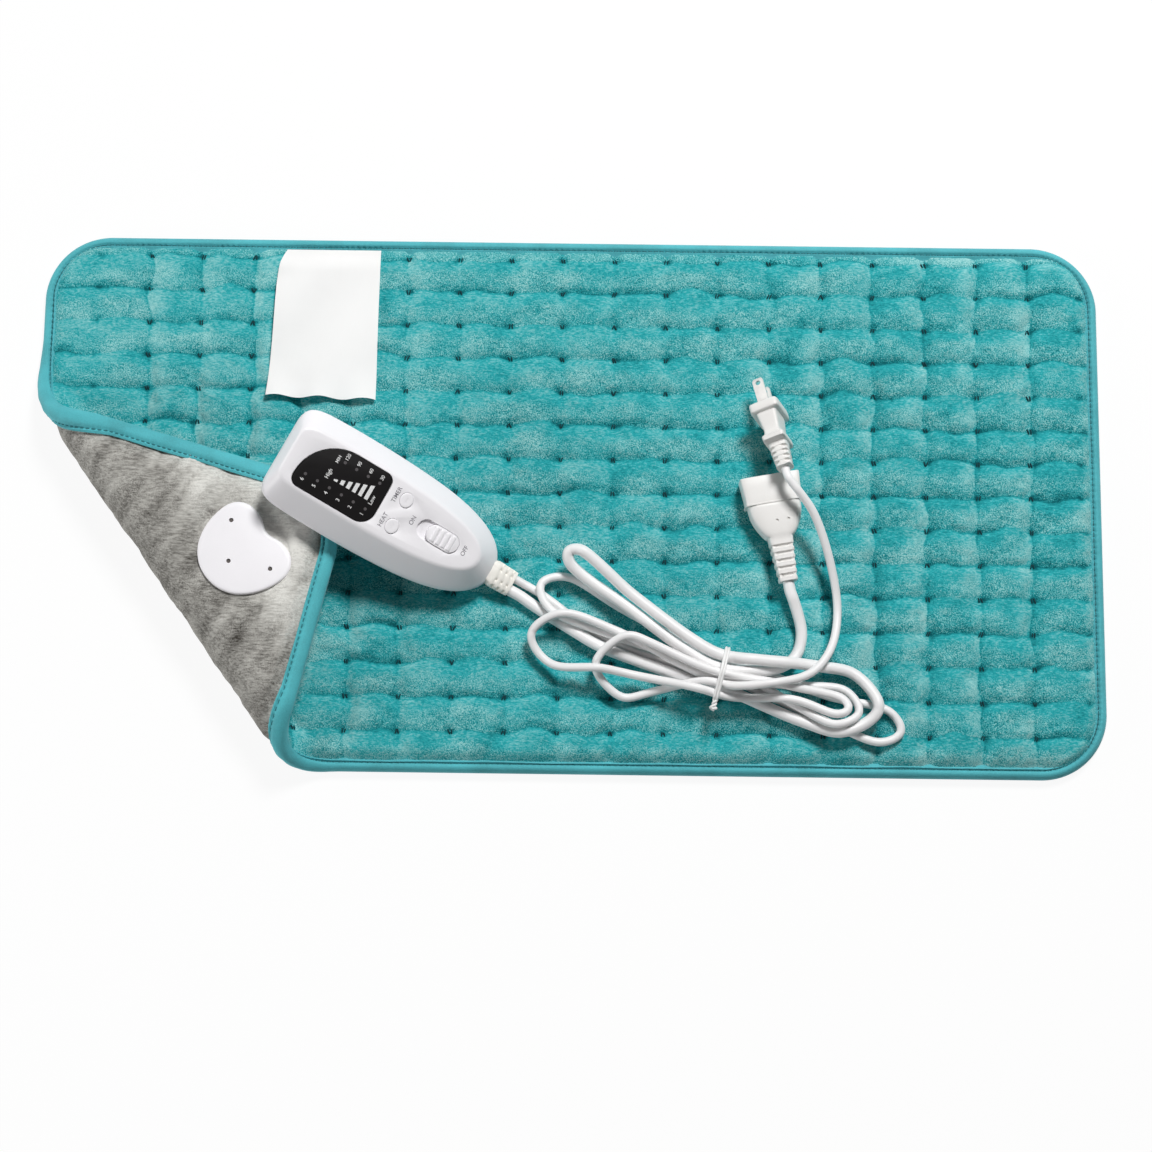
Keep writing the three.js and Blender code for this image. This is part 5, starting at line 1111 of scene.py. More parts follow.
class PAD_OT_binding(bpy.types.Operator):
    """Tape sewn round the pad's edge, drawn in at each stitch"""

    bl_idname = "heating_pad.binding"
    bl_label = "Edge binding"

    def execute(self, context):
        pad = context.scene.heating_pad
        _, quarters = pad_ring(0.0, 4)
        total = 4 * quarters[1]
        stitches = round(total / pad.stitch_pitch)
        places, runs = pad_ring(0.0, stitches * PER_STITCH)
        x, y, heading = places.T
        turns = runs / total * 2 * math.pi
        wobble = np.array([noise.noise((math.cos(a) * 9, math.sin(a) * 9, 4.0)) for a in turns])
        drawn = np.cos(2 * math.pi * np.arange(len(runs)) / PER_STITCH)
        raised_up = eased((past_fold(x, y) - SEAM_START) / (20 * MM))
        rows = []
        for inset, w, gather, dome in self.section(pad.binding_width / MM):
            run_in = (inset + (0.5 * wobble if inset >= 5.8 else 0)) * MM
            u, v = x - run_in * np.sin(heading), y + run_in * np.cos(heading)
            height = w * MM + gather * drawn * GATHER + dome * (0.3 * MM * wobble)
            if w < 1:
                height = (w - 1.1 * abs(dome) * raised_up + 0.3 * gather * drawn * lifted(x, y)) * MM
            rows.append(folded(np.column_stack([u, v, height])))
        grid = np.stack(rows, 1)
        index = np.arange(grid.shape[0] * grid.shape[1]).reshape(grid.shape[:2])
        ahead, beside = np.roll(index, -1, 0), np.roll(index, -1, 1)
        corners = np.stack([index, ahead, np.roll(ahead, -1, 1), beside], 2)
        made = piece_of("sewn_binding", grid.reshape(-1, 3), corners.reshape(-1, 4).tolist(), teal_tape, sharp=60.0)
        dress(made, replaced=["edge_binding"])
        self.sew(context, stitches)
        return {"FINISHED"}

    @staticmethod
    def section(width):
        """The tape's section from its front inner edge round to the back one: inset, height, gather and doming."""
        top, low, thick = BINDING_TOP, BINDING_LOW, BINDING_THICKNESS
        front = [
            (width, top - thick + 0.1, 0, 0), (width, top - 0.4, 0, 0), (7.0, top - 0.3, 0.2, 0),
            (6.5, top + 0.35, 0.3, 0.2), (5.9, top + 0.45, 0.5, 0.3), (5.4, top - 0.75, 1, 0.2),
            (5.0, top - 0.7, 1, 0.3), (4.4, top + 0.6, 0.4, 0.8), (3.5, top + 1.05, 0.1, 1),
            (2.4, top + 0.8, 0, 0.8), (1.0, top - 0.5, 0, 0.4), (0, top - 3.2, 0, 0), (0.4, 1.9, 0, 0),
        ]
        back = [
            (1.9, low + 0.3, 0, 0.4), (width - 5.0, low, 0, 1.2), (width - 3.0, low, 0.3, 0.9),
            (width - 2.2, low + 0.25, 1, 0), (width - 1.7, low + 0.25, 1, 0), (width - 1.0, low, 0.4, 0.5),
            (width, low + 0.2, 0.4, 0.2), (width, low + thick, 0.6, 0),
        ]
        inner = [
            (thick + 1.0, low + thick + 0.4, 0, 0), (thick + 0.3, (top + low) / 2, 0, 0),
            (thick + 1.0, top - thick - 0.4, 0, 0),
        ]
        return front + back + inner

    @staticmethod
    def sew(context, stitches):
        """Short threads in the dents along the tape's front and back inner edges."""
        back_inset = context.scene.heating_pad.binding_width - SEAM_INSETS["back"]
        seams = (
            (1, SEAM_INSETS["front"], (BINDING_TOP - 0.4) * MM),
            (-1, back_inset, (BINDING_LOW + 0.1) * MM),
        )
        parts = []
        for side, inset, low in seams:
            places, _ = pad_ring(inset, stitches * 2)
            for x, y, heading in places[::2]:
                if side < 0 and past_fold(x, y) < SEAM_START:
                    continue
                ahead = SEAM_HALF * np.array((math.cos(heading), math.sin(heading), 0.0))
                arch = [np.array((x, y, low + side * z * MM)) + ahead * run for run, z in SEAM_ARCH]
                parts.append(tube(folded(arch), SEAM_RADIUS, THREAD_SIDES))
        made = piece_of("edge_stitches", *joined(*parts), edge_thread, sharp=80.0)
        dress(made)


# Care label


class PAD_OT_label(bpy.types.Operator):
    """Satin label sewn in at the top edge, its free end lifting in waves"""

    bl_idname = "heating_pad.label"
    bl_label = "Care label"

    LEFT, RIGHT = (-164.5, -173.4), (-110.3, -110.8)
    START, ENDS = 147.0, (58.8, 57.0)
    BOW, BOW_RUN = 3.2, 0.2
    END_WAVE = 0.7
    LIE, CLIMB, CLIMB_RUN = 10.9, 1.8, 0.14
    CURL_START, CORNER_LIFT, CORNER_SHARE = 0.72, 2.2, 0.22
    THICKNESS = 0.4 * MM
    ACROSS, ALONG = 26, 44

    def execute(self, context):
        shares, runs = (np.linspace(0, 1, count + 1) for count in (self.ACROSS, self.ALONG))
        top = np.array([[self.place(run, share) for share in shares] for run in runs]) * MM
        lower = top.copy()
        lower[:, :, 2] -= self.THICKNESS
        made = self.strip(top, lower)
        dress(made, replaced=["care_label"])
        return {"FINISHED"}

    def place(self, run, share):
        """A point of the label, in mm: how far down it and how far across it."""
        left = between(self.LEFT, run) - self.BOW * (run / self.BOW_RUN) * math.exp(1 - run / self.BOW_RUN)
        right = between(self.RIGHT, run)
        end = between(self.ENDS, share) + self.END_WAVE * math.sin(5 * math.pi * share)
        return between((left, right), share), between((self.START, end), run), self.height(run, share)

    def height(self, run, share):
        """Flat at the seam, then up on the plush in low waves to a curled end."""
        climb = float(eased(run / self.CLIMB_RUN))
        wave = climb * (1 - math.cos(2 * math.pi * (run * 1.1 + share * 0.9)))
        lift = (max(0.0, run - self.CURL_START) / (1 - self.CURL_START)) ** 2
        curl = lift * (2.6 - 1.3 * math.sin(math.pi * share) + 1.1 * math.sin(5 * math.pi * share + 0.6))
        by_corner = max(0.0, self.CORNER_SHARE - share) / self.CORNER_SHARE * max(0.0, 1 - abs(run - 0.1) / 0.1)
        return self.LIE + self.CLIMB * climb + wave + curl + self.CORNER_LIFT * by_corner

    @staticmethod
    def strip(top, lower):
        """A thin closed piece between an upper and a lower grid."""
        count = top.shape[0] * top.shape[1]
        sheet = grid_faces(*top.shape[:2])
        faces = [face[::-1] for face in sheet]
        faces += [tuple(count + i for i in face) for face in sheet]
        rim = [int(i) for i in grid_rim(*top.shape[:2])]
        faces += [(count + b, count + a, a, b) for a, b in zip(rim, rim[1:] + rim[:1])]
        points = np.concatenate([top.reshape(-1, 3), lower.reshape(-1, 3)])
        return piece_of("satin_label", points, faces, label_satin, sharp=60.0)


# Socket plate on the folded corner

SOCKET_TURN = math.radians(-4)
HEART_HALF, HEART_NOTCH, HEART_STEPS = (22.4, 26.5), 3.1, 14
HEART_HOLES, HEART_HOLE_RADIUS = ((8.1, 17.6), (8.1, -17.6), (-7.2, 0)), 1.25


def socket_frame():
    """The socket plate's frame on the folded corner."""
    origin = folded(np.array([(*SOCKET_PLACE, 0.0)]))[0]
    x_axis = Vector((*(math.cos(BEND_ANGLE) * FOLD_ACROSS), math.sin(BEND_ANGLE)))
    y_axis = Vector((*FOLD_ALONG, 0.0))
    turn = Matrix((x_axis, y_axis, x_axis.cross(y_axis))).transposed().to_4x4()
    return Matrix.Translation(origin) @ turn @ Matrix.Rotation(SOCKET_TURN, 4, "Z")


def heart(margin):
    """A heart's outline, drawn in by a margin in mm, its notch towards +X."""
    x, y = (half - margin for half in HEART_HALF)
    notch = (x - HEART_NOTCH, 0.0)
    half = [
        (x - HEART_NOTCH, 0.16 * y), (x, 0.22 * y), (x, 0.47 * y),
        (x, 0.82 * y), (0.75 * x, y), (0.4 * x, y),
        (-0.1 * x, y), (-0.66 * x, 0.8 * y), (-0.87 * x, 0.44 * y),
    ]
    tip = [(-1.04 * x, 0.2 * y), (-1.04 * x, -0.2 * y)]
    handles = half + tip + [(px, -py) for px, py in reversed([notch, *half])]
    return bezier_points(notch, [handles[i : i + 3] for i in range(0, len(handles), 3)], HEART_STEPS) * MM


class PAD_OT_socket(bpy.types.Operator):
    """Heart-shaped plate of the pad's socket"""

    bl_idname = "heating_pad.socket"
    bl_label = "Socket plate"

    LEVELS = ((-0.3, 0.0), (-1.3, 0.0), (-1.85, 0.2), (-2.2, 0.65), (-2.35, 1.3), (-2.4, 2.4))

    def execute(self, context):
        points, faces = stepped(heart, self.LEVELS)
        at = socket_frame()
        made = piece_of("heart_plate", moved(points, at), [tuple(reversed(f)) for f in faces], white_plastic)
        tools = []
        for x, y in HEART_HOLES:
            hole = prism(ellipse(x, y, HEART_HOLE_RADIUS, HEART_HOLE_RADIUS, 24), -4 * MM, 2 * MM)
            tools.append(piece_of("tool", moved(hole[0], at), hole[1], white_plastic))
        carve(made, tools)
        dress(made, replaced=["socket_back_plate"])
        return {"FINISHED"}


# Controller

CASE_YAW, CASE_PITCH = math.radians(-28), math.radians(16.4)
CASE_TIP = (-41.7 * MM, -43.6 * MM)
CASE_SEAM = 9.6 * MM
BOOT_END = 150.9 * MM
CASE_REST = 4 * MM
CASE_CURVE = (
    (0, 0.57), (0, 0.87), (4, 0.95), (14, 0.98), (30, 1.01),
    (62, 1.02), (88, 0.945), (108, 0.88), (136.6, 0.7), (136.6, 0),
)
CASE_STEPS, BLUNT_STEPS = 14, 9
FOOT_LEVELS = ((0, 5, 6, 6), (0, 3, 4, 4), (4.4, 0, 0.1, 0.1), (9.45, 0, 0, 0))
FOOT_HOLLOW = ((2, 3.4, 4, 4), (5, 2.2, 2.3, 2.3), (11, 2, 2, 2))
BEVEL_LEVELS = ((9.75, 0, 0, 0), (11.6, 0.1, 0.1, 0.1), (24.0, 3.4, 12.6, 12.3), (24.0, 6.4, 16.4, 15.9))
BEVEL_HOLLOW = ((9.0, 2, 2, 2), (10.6, 2.9, 3.4, 3.4), (19.6, 6.6, 12.5, 12.3), (22.0, 9.2, 16.4, 15.4))
FOOT_ROUNDING, BEVEL_ROUNDING, EDGE_ROUNDING = 1.6, 2.6, 0.22 * MM


def controller_frame():
    """The case's frame: X along it from its blunt end, Z up out of its face."""
    settings = bpy.context.scene.controller
    turn = Matrix.Rotation(CASE_YAW, 4, "Z") @ Matrix.Rotation(CASE_PITCH, 4, "Y")
    tip = turn @ Vector((settings.length, 0, CASE_SEAM))
    foot = turn @ Vector((settings.length - CASE_REST, 0, 0))
    return Matrix.Translation((CASE_TIP[0] - tip.x, CASE_TIP[1] - tip.y, PAD_TOP + SEAT_GAP - foot.z)) @ turn


def case_ring(z, blunt, nose, sides):
    """The case's outline at one height, drawn in at the blunt end, the nose and the sides, all in mm."""
    settings = bpy.context.scene.controller
    half = [(x * MM, -share * settings.half_width) for x, share in CASE_CURVE]
    whole = half + [(x, -y) for x, y in reversed(half[:-1])]
    outline = bezier_points(whole[0], [whole[i : i + 3] for i in range(1, len(whole) - 2, 3)], CASE_STEPS)
    closing = np.linspace(whole[-1], whole[0], BLUNT_STEPS)[:-1]
    outline = np.concatenate([outline, closing])
    run = (settings.length - (blunt + nose) * MM) / settings.length
    spread = (settings.half_width - sides * MM) / settings.half_width
    return raised(np.column_stack([blunt * MM + outline[:, 0] * run, outline[:, 1] * spread]), z * MM)


def case_loft(levels):
    """The case's outline carried through levels."""
    return loft([case_ring(*level) for level in levels])


def case_piece(name, points, faces, maker):
    """A piece given in the controller's frame."""
    return piece_of(name, moved(points, controller_frame()), faces, maker)


def case_tool(points, faces):
    return case_piece("tool", points, faces, white_plastic)


WINDOW = {"start": 11.2, "end": 61.0, "half": 16.0, "thickness": 1.3, "radii": (5, 9, 5, 26)}
WINDOW_GAP, WINDOW_LEDGE = 0.3, 2.0
BUTTON = {"x": 72.4, "y": 8.2, "half": (3.75, 4.35), "gap": 0.2}
SLOT = {"start": 84.6, "end": 110.6, "half": 5.8, "depth": 1.9}
CUT_DEPTH, CUT_ABOVE = 4 * MM, 2 * MM


def window_outline(margin):
    """The window's outline, drawn in by a margin in mm."""
    start, end, half = WINDOW["start"] + margin, WINDOW["end"] - margin, WINDOW["half"] - margin
    return rounded_box(start, end, -half, half, [radius - margin for radius in WINDOW["radii"]])


def button_outline(side, margin):
    """A button's outline, drawn in by a margin in mm."""
    half_x, half_y = (half - margin for half in BUTTON["half"])
    return ellipse(BUTTON["x"], side * BUTTON["y"], half_x, half_y, 64)


def stadium(x0, x1, half, margin=0.0):
    """A slot's outline with round ends, drawn in by a margin, all in mm."""
    inner = half - margin
    return rounded_box(x0 + margin, x1 - margin, -inner, inner, [inner * 0.98] * 4, 12)


class PAD_OT_case(bpy.types.Operator):
    """Two-part moulded case with its seats, holes and ribbed cord boot"""

    bl_idname = "heating_pad.case"
    bl_label = "Controller case"

    def execute(self, context):
        self.top(context)
        self.bottom()
        self.boot()
        return {"FINISHED"}

    def top(self, context):
        made = case_piece("case_top", *case_loft(rounded_levels(BEVEL_LEVELS, BEVEL_ROUNDING)), white_plastic)
        height = context.scene.controller.height
        seat = (WINDOW["thickness"] + WINDOW_GAP) * MM
        slot = stadium(SLOT["start"], SLOT["end"], SLOT["half"])
        cuts = [(window_outline(-WINDOW_GAP), seat), (window_outline(WINDOW_LEDGE), CUT_DEPTH)]
        cuts += [(slot, SLOT["depth"] * MM)]
        cuts += [(button_outline(side, -BUTTON["gap"]), CUT_DEPTH) for side in (-1, 1)]
        tools = [case_tool(*case_loft(BEVEL_HOLLOW))]
        tools += [case_tool(*prism(outline, height - depth, height + CUT_ABOVE)) for outline, depth in cuts]
        carve(made, tools)
        round_edges(made, EDGE_ROUNDING, angle=50.0)
        dress(made, replaced=["controller_top_shell"])

    def bottom(self):
        made = case_piece("case_bottom", *case_loft(rounded_levels(FOOT_LEVELS, FOOT_ROUNDING)), white_plastic)
        carve(made, [case_tool(*case_loft(FOOT_HOLLOW))])
        dress(made, replaced=["controller_bottom_shell"])

    BOOT = {"start": 136.9, "half": (7.8, 4.5), "ribs": 4, "depth": 1.0, "taper": 0.95}
    BOOT_ROOT = (133.9, 7.0, 3.9)
    BOOT_SPINES = (0, 55, 90, 125, 180, 270)

    def boot(self):
        boot, squareness = self.BOOT, 3
        ends = boot["half"], [value * boot["taper"] for value in boot["half"]]
        rings = [oval_ring(*self.BOOT_ROOT, squareness)]
        rings += ribbed_rings(
            boot["start"], BOOT_END / MM, boot["ribs"], *ends, boot["depth"], squareness, self.BOOT_SPINES
        )
        points, faces = loft(rings)
        made = case_piece("cord_boot", points + np.array((0, 0, CASE_SEAM)), faces, cream_rubber)
        dress(made, replaced=["strain_relief"])


PRINT_RISE, PRINT_HALF, PRINT_WEIGHT = 0.012 * MM, 0.01 * MM, 0.012


def lettering(name, words, maker):
    """Words on the case: text, size, x and y in mm, reading across the case."""
    parts = []
    top = bpy.context.scene.controller.height + PRINT_RISE
    for text, size, x, y in words:
        curve = bpy.data.curves.new("words", "FONT")
        curve.body = text
        curve.size = size * MM
        curve.align_x = "CENTER"
        curve.align_y = "CENTER"
        curve.extrude = PRINT_HALF
        curve.offset = PRINT_WEIGHT * size * MM
        holder = placed("words", curve)
        graph = bpy.context.evaluated_depsgraph_get()
        mesh = bpy.data.meshes.new_from_object(holder.evaluated_get(graph))
        turned = [(x * MM - p.co.y, y * MM + p.co.x, top + p.co.z) for p in mesh.vertices]
        parts.append((np.array(turned), [tuple(f.vertices) for f in mesh.polygons]))
        bpy.data.objects.remove(holder)
        bpy.data.curves.remove(curve)
        bpy.data.meshes.remove(mesh)
    return case_piece(name, *joined(*parts), maker)


class PAD_OT_display(bpy.types.Operator):
    """Dark window with its level bars, figures and lights, and the words beside the controls"""

    bl_idname = "heating_pad.display"
    bl_label = "Display and lettering"

    GLASS_LEVELS = ((-WINDOW["thickness"], 0), (-0.25, 0), (-0.06, 0.12), (0, 0.4))
    BAR_LENGTHS = (1.2, 2.8, 4.2, 5.6, 7.0, 8.6)
    BAR_FIRST, BAR_PITCH, BAR_HALF, BAR_FOOT, BAR_SLANT = 33.2, 3.85, 1.1, -2.9, 0.35
    HEAT_FIRST, HEAT_PITCH, HEAT_COUNT = 16.8, 7.58, 6
    HEAT_FIGURES_Y, HEAT_LIGHTS_Y, LIGHT_SHIFT = -11.0, -7.6, 0.3
    TIMES = (("120", 32.9), ("90", 40.2), ("60", 47.6), ("30", 54.9))
    TIME_FIGURES_Y, TIME_LIGHTS_Y = 12.2, 8.8
    LIGHT_RADIUS = 0.9
    WORDS = (("High", 3.1, 28.0, -1.0), ("Low", 3.1, 55.9, -1.5), ("MIN", 2.5, 28.8, 8.6))
    CASE_WORDS = (
        ("TIMER", 3.4, 66.2, 8.2), ("HEAT", 3.4, 66.3, -7.6), ("ON", 3.4, 80.9, 0.4), ("OFF", 3.4, 114.4, 0.4),
    )

    def execute(self, context):
        height = context.scene.controller.height
        glass = stepped(window_outline, self.GLASS_LEVELS, height)
        dress(case_piece("display_glass", *glass, window), replaced=["display_window"])
        heats = [self.HEAT_FIRST + k * self.HEAT_PITCH for k in range(self.HEAT_COUNT)]
        words = list(self.WORDS)
        words += [(str(self.HEAT_COUNT - k), 3.0, x, self.HEAT_FIGURES_Y) for k, x in enumerate(heats)]
        words += [(text, 2.8, x, self.TIME_FIGURES_Y) for text, x in self.TIMES]
        dress(lettering("display_words", words, display_print))
        self.marks("level_bars", [self.bar(k) for k in range(len(self.BAR_LENGTHS))], height, display_print)
        lights = [(x + self.LIGHT_SHIFT, self.HEAT_LIGHTS_Y) for x in heats]
        lights += [(x, self.TIME_LIGHTS_Y) for _, x in self.TIMES]
        rounds = [ellipse(x, y, self.LIGHT_RADIUS, self.LIGHT_RADIUS, 20) for x, y in lights]
        self.marks("display_lights", rounds, height, display_light)
        dress(lettering("case_words", self.CASE_WORDS, case_print))
        return {"FINISHED"}

    def bar(self, k):
        """The outline of one bar of the level sign, its top slanting up towards the long bars."""
        x, foot = self.BAR_FIRST + self.BAR_PITCH * k, self.BAR_FOOT
        start, end, top = x - self.BAR_HALF, x + self.BAR_HALF, foot + self.BAR_LENGTHS[k]
        corners = ((start, foot), (end, foot), (end, top + self.BAR_SLANT), (start, top - self.BAR_SLANT))
        return np.array(corners) * MM

    @staticmethod
    def marks(name, outlines, height, maker):
        """Flat marks let into the window's face."""
        parts = [prism(outline, height - 0.05 * MM, height + 0.02 * MM) for outline in outlines]
        dress(case_piece(name, *joined(*parts), maker))


class PAD_OT_controls(bpy.types.Operator):
    """Two press buttons and the ribbed power slider"""

    bl_idname = "heating_pad.controls"
    bl_label = "Buttons and slider"

    CAP_LEVELS = ((-2.6, 0.0), (0.3, 0.0), (0.52, 0.12), (0.66, 0.4), (0.72, 1.0), (0.62, 2.4), (0.55, 4.5))

    def execute(self, context):
        height = context.scene.controller.height
        for name, side in (("heat_button", -1), ("timer_button", 1)):
            cap = stepped(partial(button_outline, side), self.CAP_LEVELS, height)
            dress(case_piece(f"{name}_cap", *cap, white_plastic), name, [name])
        self.slider(height)
        return {"FINISHED"}

    KNOB = {"start": 90.65, "length": 19.6, "half": 5.45, "ribs": 4}
    KNOB_LEVELS = ((-1.6, 0.0), (0.4, 0.0), (0.75, 0.15), (0.9, 0.55))
    RIB_LEVELS = ((0.4, 0.0), (1.2, 0.08), (1.45, 0.3), (1.6, 0.75))
    RIB_HALF, RIB_MARGIN, RIB_RADIUS = 1.35, 0.9, 0.55

    def slider(self, height):
        knob = self.KNOB
        end = knob["start"] + knob["length"]
        form = stepped(partial(stadium, knob["start"], end, knob["half"]), self.KNOB_LEVELS, height)
        made = case_piece("slider_knob", *form, white_plastic)
        pitch = (knob["length"] - 2 * knob["half"] * 0.55) / knob["ribs"]
        middle = knob["start"] + knob["length"] / 2
        shifts = [(i - (knob["ribs"] - 1) / 2) * pitch for i in range(knob["ribs"])]
        ribs = [stepped(partial(self.rib, middle + shift), self.RIB_LEVELS, height) for shift in shifts]
        carve(made, [case_tool(*rib) for rib in ribs], "UNION")
        dress(made, "power_slider", ["power_slider"])

    def rib(self, x, margin):
        """The outline of one grip rib across the slider, drawn in by a margin in mm."""
        along, across = self.RIB_HALF - margin, self.KNOB["half"] - self.RIB_MARGIN - margin
        return rounded_box(x - along, x + along, -across, across, [self.RIB_RADIUS] * 4, 4)


# Plug and connector

PLUG_FRAME = (
    Matrix.Translation((121.5 * MM, 15.2 * MM, 37 * MM))
    @ Matrix.Rotation(math.radians(103.4), 4, "Z")
    @ Matrix.Rotation(math.radians(17), 4, "Y")
    @ Matrix.Rotation(math.radians(71), 4, "X")
)
CONNECTOR_PLACE = Matrix.Translation((124.6 * MM, -46.4 * MM, 19.55 * MM))
CONNECTOR_FRAME = CONNECTOR_PLACE @ Matrix.Rotation(math.radians(100.5), 4, "Z")


def booted(name, place, boot, body):
    """A moulding along X: a ribbed boot, then a body of rings, each with its run, half sizes and squareness."""
    rings = ribbed_rings(
        0, boot["length"], boot["ribs"], *boot["halves"], boot["depth"], boot["squareness"], boot["spines"]
    )
    rings += [oval_ring(*ring) for ring in body]
    points, faces = loft(rings)
    return piece_of(name, moved(points, place), faces, white_rubber, sharp=40.0)


class PAD_OT_plug(bpy.types.Operator):
    """Moulded mains plug with its ribbed boot"""

    bl_idname = "heating_pad.plug"
    bl_label = "Mains plug"

    BOOT = {
        "length": 15, "ribs": 5, "halves": ((4.9, 4.5), (5.8, 5.3)), "depth": 1.1, "squareness": 4,
        "spines": (0, 90, 180, 270),
    }
    BODY = (
        (15, 5.9, 5.4, 3), (15.3, 9.9, 6.0, 9), (15.6, 10.4, 6.4, 9), (18.0, 10.7, 6.6, 9), (18.5, 10.3, 6.2, 9),
        (19.6, 9.1, 5.3, 8), (21, 8.4, 4.8, 8), (22.6, 8.25, 4.65, 8), (26, 8.8, 5.05, 8), (30, 9.5, 5.6, 8),
        (33.2, 10.1, 6.0, 8), (33.5, 11.9, 7.8, 9), (33.9, 12.4, 8.3, 9), (34.4, 12.6, 8.5, 9),
        (38.3, 12.6, 8.5, 9), (38.8, 12.3, 8.2, 9), (39, 11.8, 7.7, 9),
    )

    def execute(self, context):
        made = booted("plug_moulding", PLUG_FRAME, self.BOOT, self.BODY)
        dress(made, replaced=["mains_plug_body"])
        return {"FINISHED"}


class PAD_OT_connector(bpy.types.Operator):
    """Detachable connector with its ribbed boot and open mouth"""

    bl_idname = "heating_pad.connector"
    bl_label = "Pad connector"

    BOOT = {
        "length": 25, "ribs": 6, "halves": ((5.4, 4.9), (6.9, 6.4)), "depth": 1.3, "squareness": 5,
        "spines": (45, 135, 225, 315),
    }
    HALF = (17.0, 7.75)
    BODY = (
        (25.3, 0.42, 0.84, 4), (26.2, 0.5, 0.88, 4), (28, 0.58, 0.91, 4), (31, 0.69, 0.935, 4), (35, 0.8, 0.955, 4),
        (39, 0.865, 0.965, 4.5), (43, 0.885, 0.97, 5), (44.5, 0.885, 0.97, 5), (44.7, 0.87, 0.95, 5),
        (44.9, 0.985, 1.02, 7), (45.6, 0.99, 1.025, 8), (45.8, 0.945, 0.995, 8), (46.2, 0.945, 1.0, 8),
        (50, 0.955, 1.0, 8), (55, 0.975, 1.0, 9), (60.4, 1.0, 1.0, 9), (60.8, 0.995, 0.985, 9), (61, 0.98, 0.96, 9),
    )
    DIMPLES, DIMPLE_RADIUS = ((34.4, 0.4), (34.4, -6.0)), 0.75
    WALL = 1.8
    MOUTH = ((48.5, 0.9, 0.97, 6), (62, 1.0, 1.0, 7))
    SLEEVE_RADIUS, SLEEVE_SPACING, SLEEVE_RUN = 2.6, 7, (38, 50)

    def execute(self, context):
        width, height = self.HALF
        body = [(x, width * wide, height * high, squareness) for x, wide, high, squareness in self.BODY]
        made = booted("connector_moulding", CONNECTOR_FRAME, self.BOOT, body)
        mouth = [
            oval_ring(x, width * wide - self.WALL, height * high - self.WALL, squareness)
            for x, wide, high, squareness in self.MOUTH
        ]
        cuts, radius = [loft(mouth)], self.SLEEVE_RADIUS
        for side in (-1, 1):
            shift = np.array((0, side * self.SLEEVE_SPACING * MM, 0))
            cuts.append(loft([oval_ring(x, radius, radius, 2, 24) + shift for x in self.SLEEVE_RUN]))
        for x, y in self.DIMPLES:
            cuts.append(prism(ellipse(x, y, self.DIMPLE_RADIUS, self.DIMPLE_RADIUS, 16), 6.4 * MM, 9 * MM))
        tools = [piece_of("tool", moved(points, CONNECTOR_FRAME), faces, white_rubber) for points, faces in cuts]
        carve(made, tools, sharp=40.0)
        dress(made, replaced=["connector_body"])
        return {"FINISHED"}


# Cords, gathered in a hank by the tie

TIE_MIDDLE = np.array((87.0, -99.0)) * MM
TIE_TURN = math.radians(-13.5)
TIE_ALONG = np.array((math.cos(TIE_TURN), math.sin(TIE_TURN)))
TIE_ACROSS = np.array((-TIE_ALONG[1], TIE_ALONG[0]))
TIE_LENGTH = 14 * MM
TIE_GAP = 0.4 * MM
CORD_SPACING = 7 * MM
CORD_STRAIGHT = 5 * MM
CORD_SLOPE = 0.35
STRAND_GAP = 0.8 * MM
SAMPLE_STEP = 1.5 * MM
SMOOTH_ROUNDS, LAY_ROUNDS = 40, 4
ROUND_ROUNDS, ROUND_ENDS = 10, 6
FLANK_SHARE = 0.58
LED_IN = 3 * MM

PAD_LOOPS = ((90, -12.2, 17, 0.95), (110.4, 142, 4.2, 0.8))
MAINS_LOOPS = (
    (106, -17, 9, 0.75), (113.6, 153.9, 10.5, 0.8), (80, -15.4, 10.4, 0.6),
    (109, 168.9, 14, 0.8), (74, -15.4, 4.8, 0.7), (71, 176.8, 17, 0.8),
)
PAD_SLOTS = (-8.2, 9.8, 2.6)
MAINS_SLOTS = (-1.9, 9.1, 3.6, -3.9, -12.3, -0.6, -6.7)
PAD_LEAD = ((-17.5, -61.8), (1, -73.5), (18, -83.6), (37, -91), (57, -98))
PAD_TAIL = ((100, -98), (115, -97), (128, -90), (132.5, -76), (129, -61))
MAINS_LEAD = ((-15.5, -53.6), (-5, -61), (11.5, -73.6), (42, -87))
MAINS_TAIL = ((120, -104.8), (136.7, -99), (148, -84.7), (152.5, -62), (147.5, -34.3), (137, -8), (127.6, 3.4))
PAD_TILT = ((-60, 0), (-28, 14), (-8, 17), (0, 11), (8, 6), (24, 0))
PLUG_PINS = ((0, 25.5), (6, 27.2), (14, 26.4), (30, 20.5), (55, 10), (80, 3))
CONNECTOR_PINS = ((0, 8.05), (10, 8.05))
WINDING = (
    ("mains", 0), ("mains", 1), ("pad", 0), ("mains", 2), ("pad", 2),
    ("pad", 1), ("mains", 3), ("mains", 5), ("mains", 6), ("mains", 4),
)


def tie_slot(offset, towards):
    """Where a strand enters and leaves the tie."""
    middle = TIE_MIDDLE + offset * TIE_ACROSS
    return [middle + end * TIE_LENGTH / 2 * TIE_ALONG for end in (-towards, towards)]


def loop_points(reach, bearing, half, flank):
    """A loop as five points, run anticlockwise: flank, shoulder, tip, shoulder, flank."""
    turn = math.radians(bearing)
    axis = np.array((math.cos(turn), math.sin(turn)))
    left = np.array((-axis[1], axis[0]))
    start, shoulder = FLANK_SHARE * reach, reach - half
    shape = [(start, -flank * half), (shoulder, -half), (reach, 0), (shoulder, half), (start, flank * half)]
    return [TIE_MIDDLE + (run * axis + offset * left) * MM for run, offset in shape]


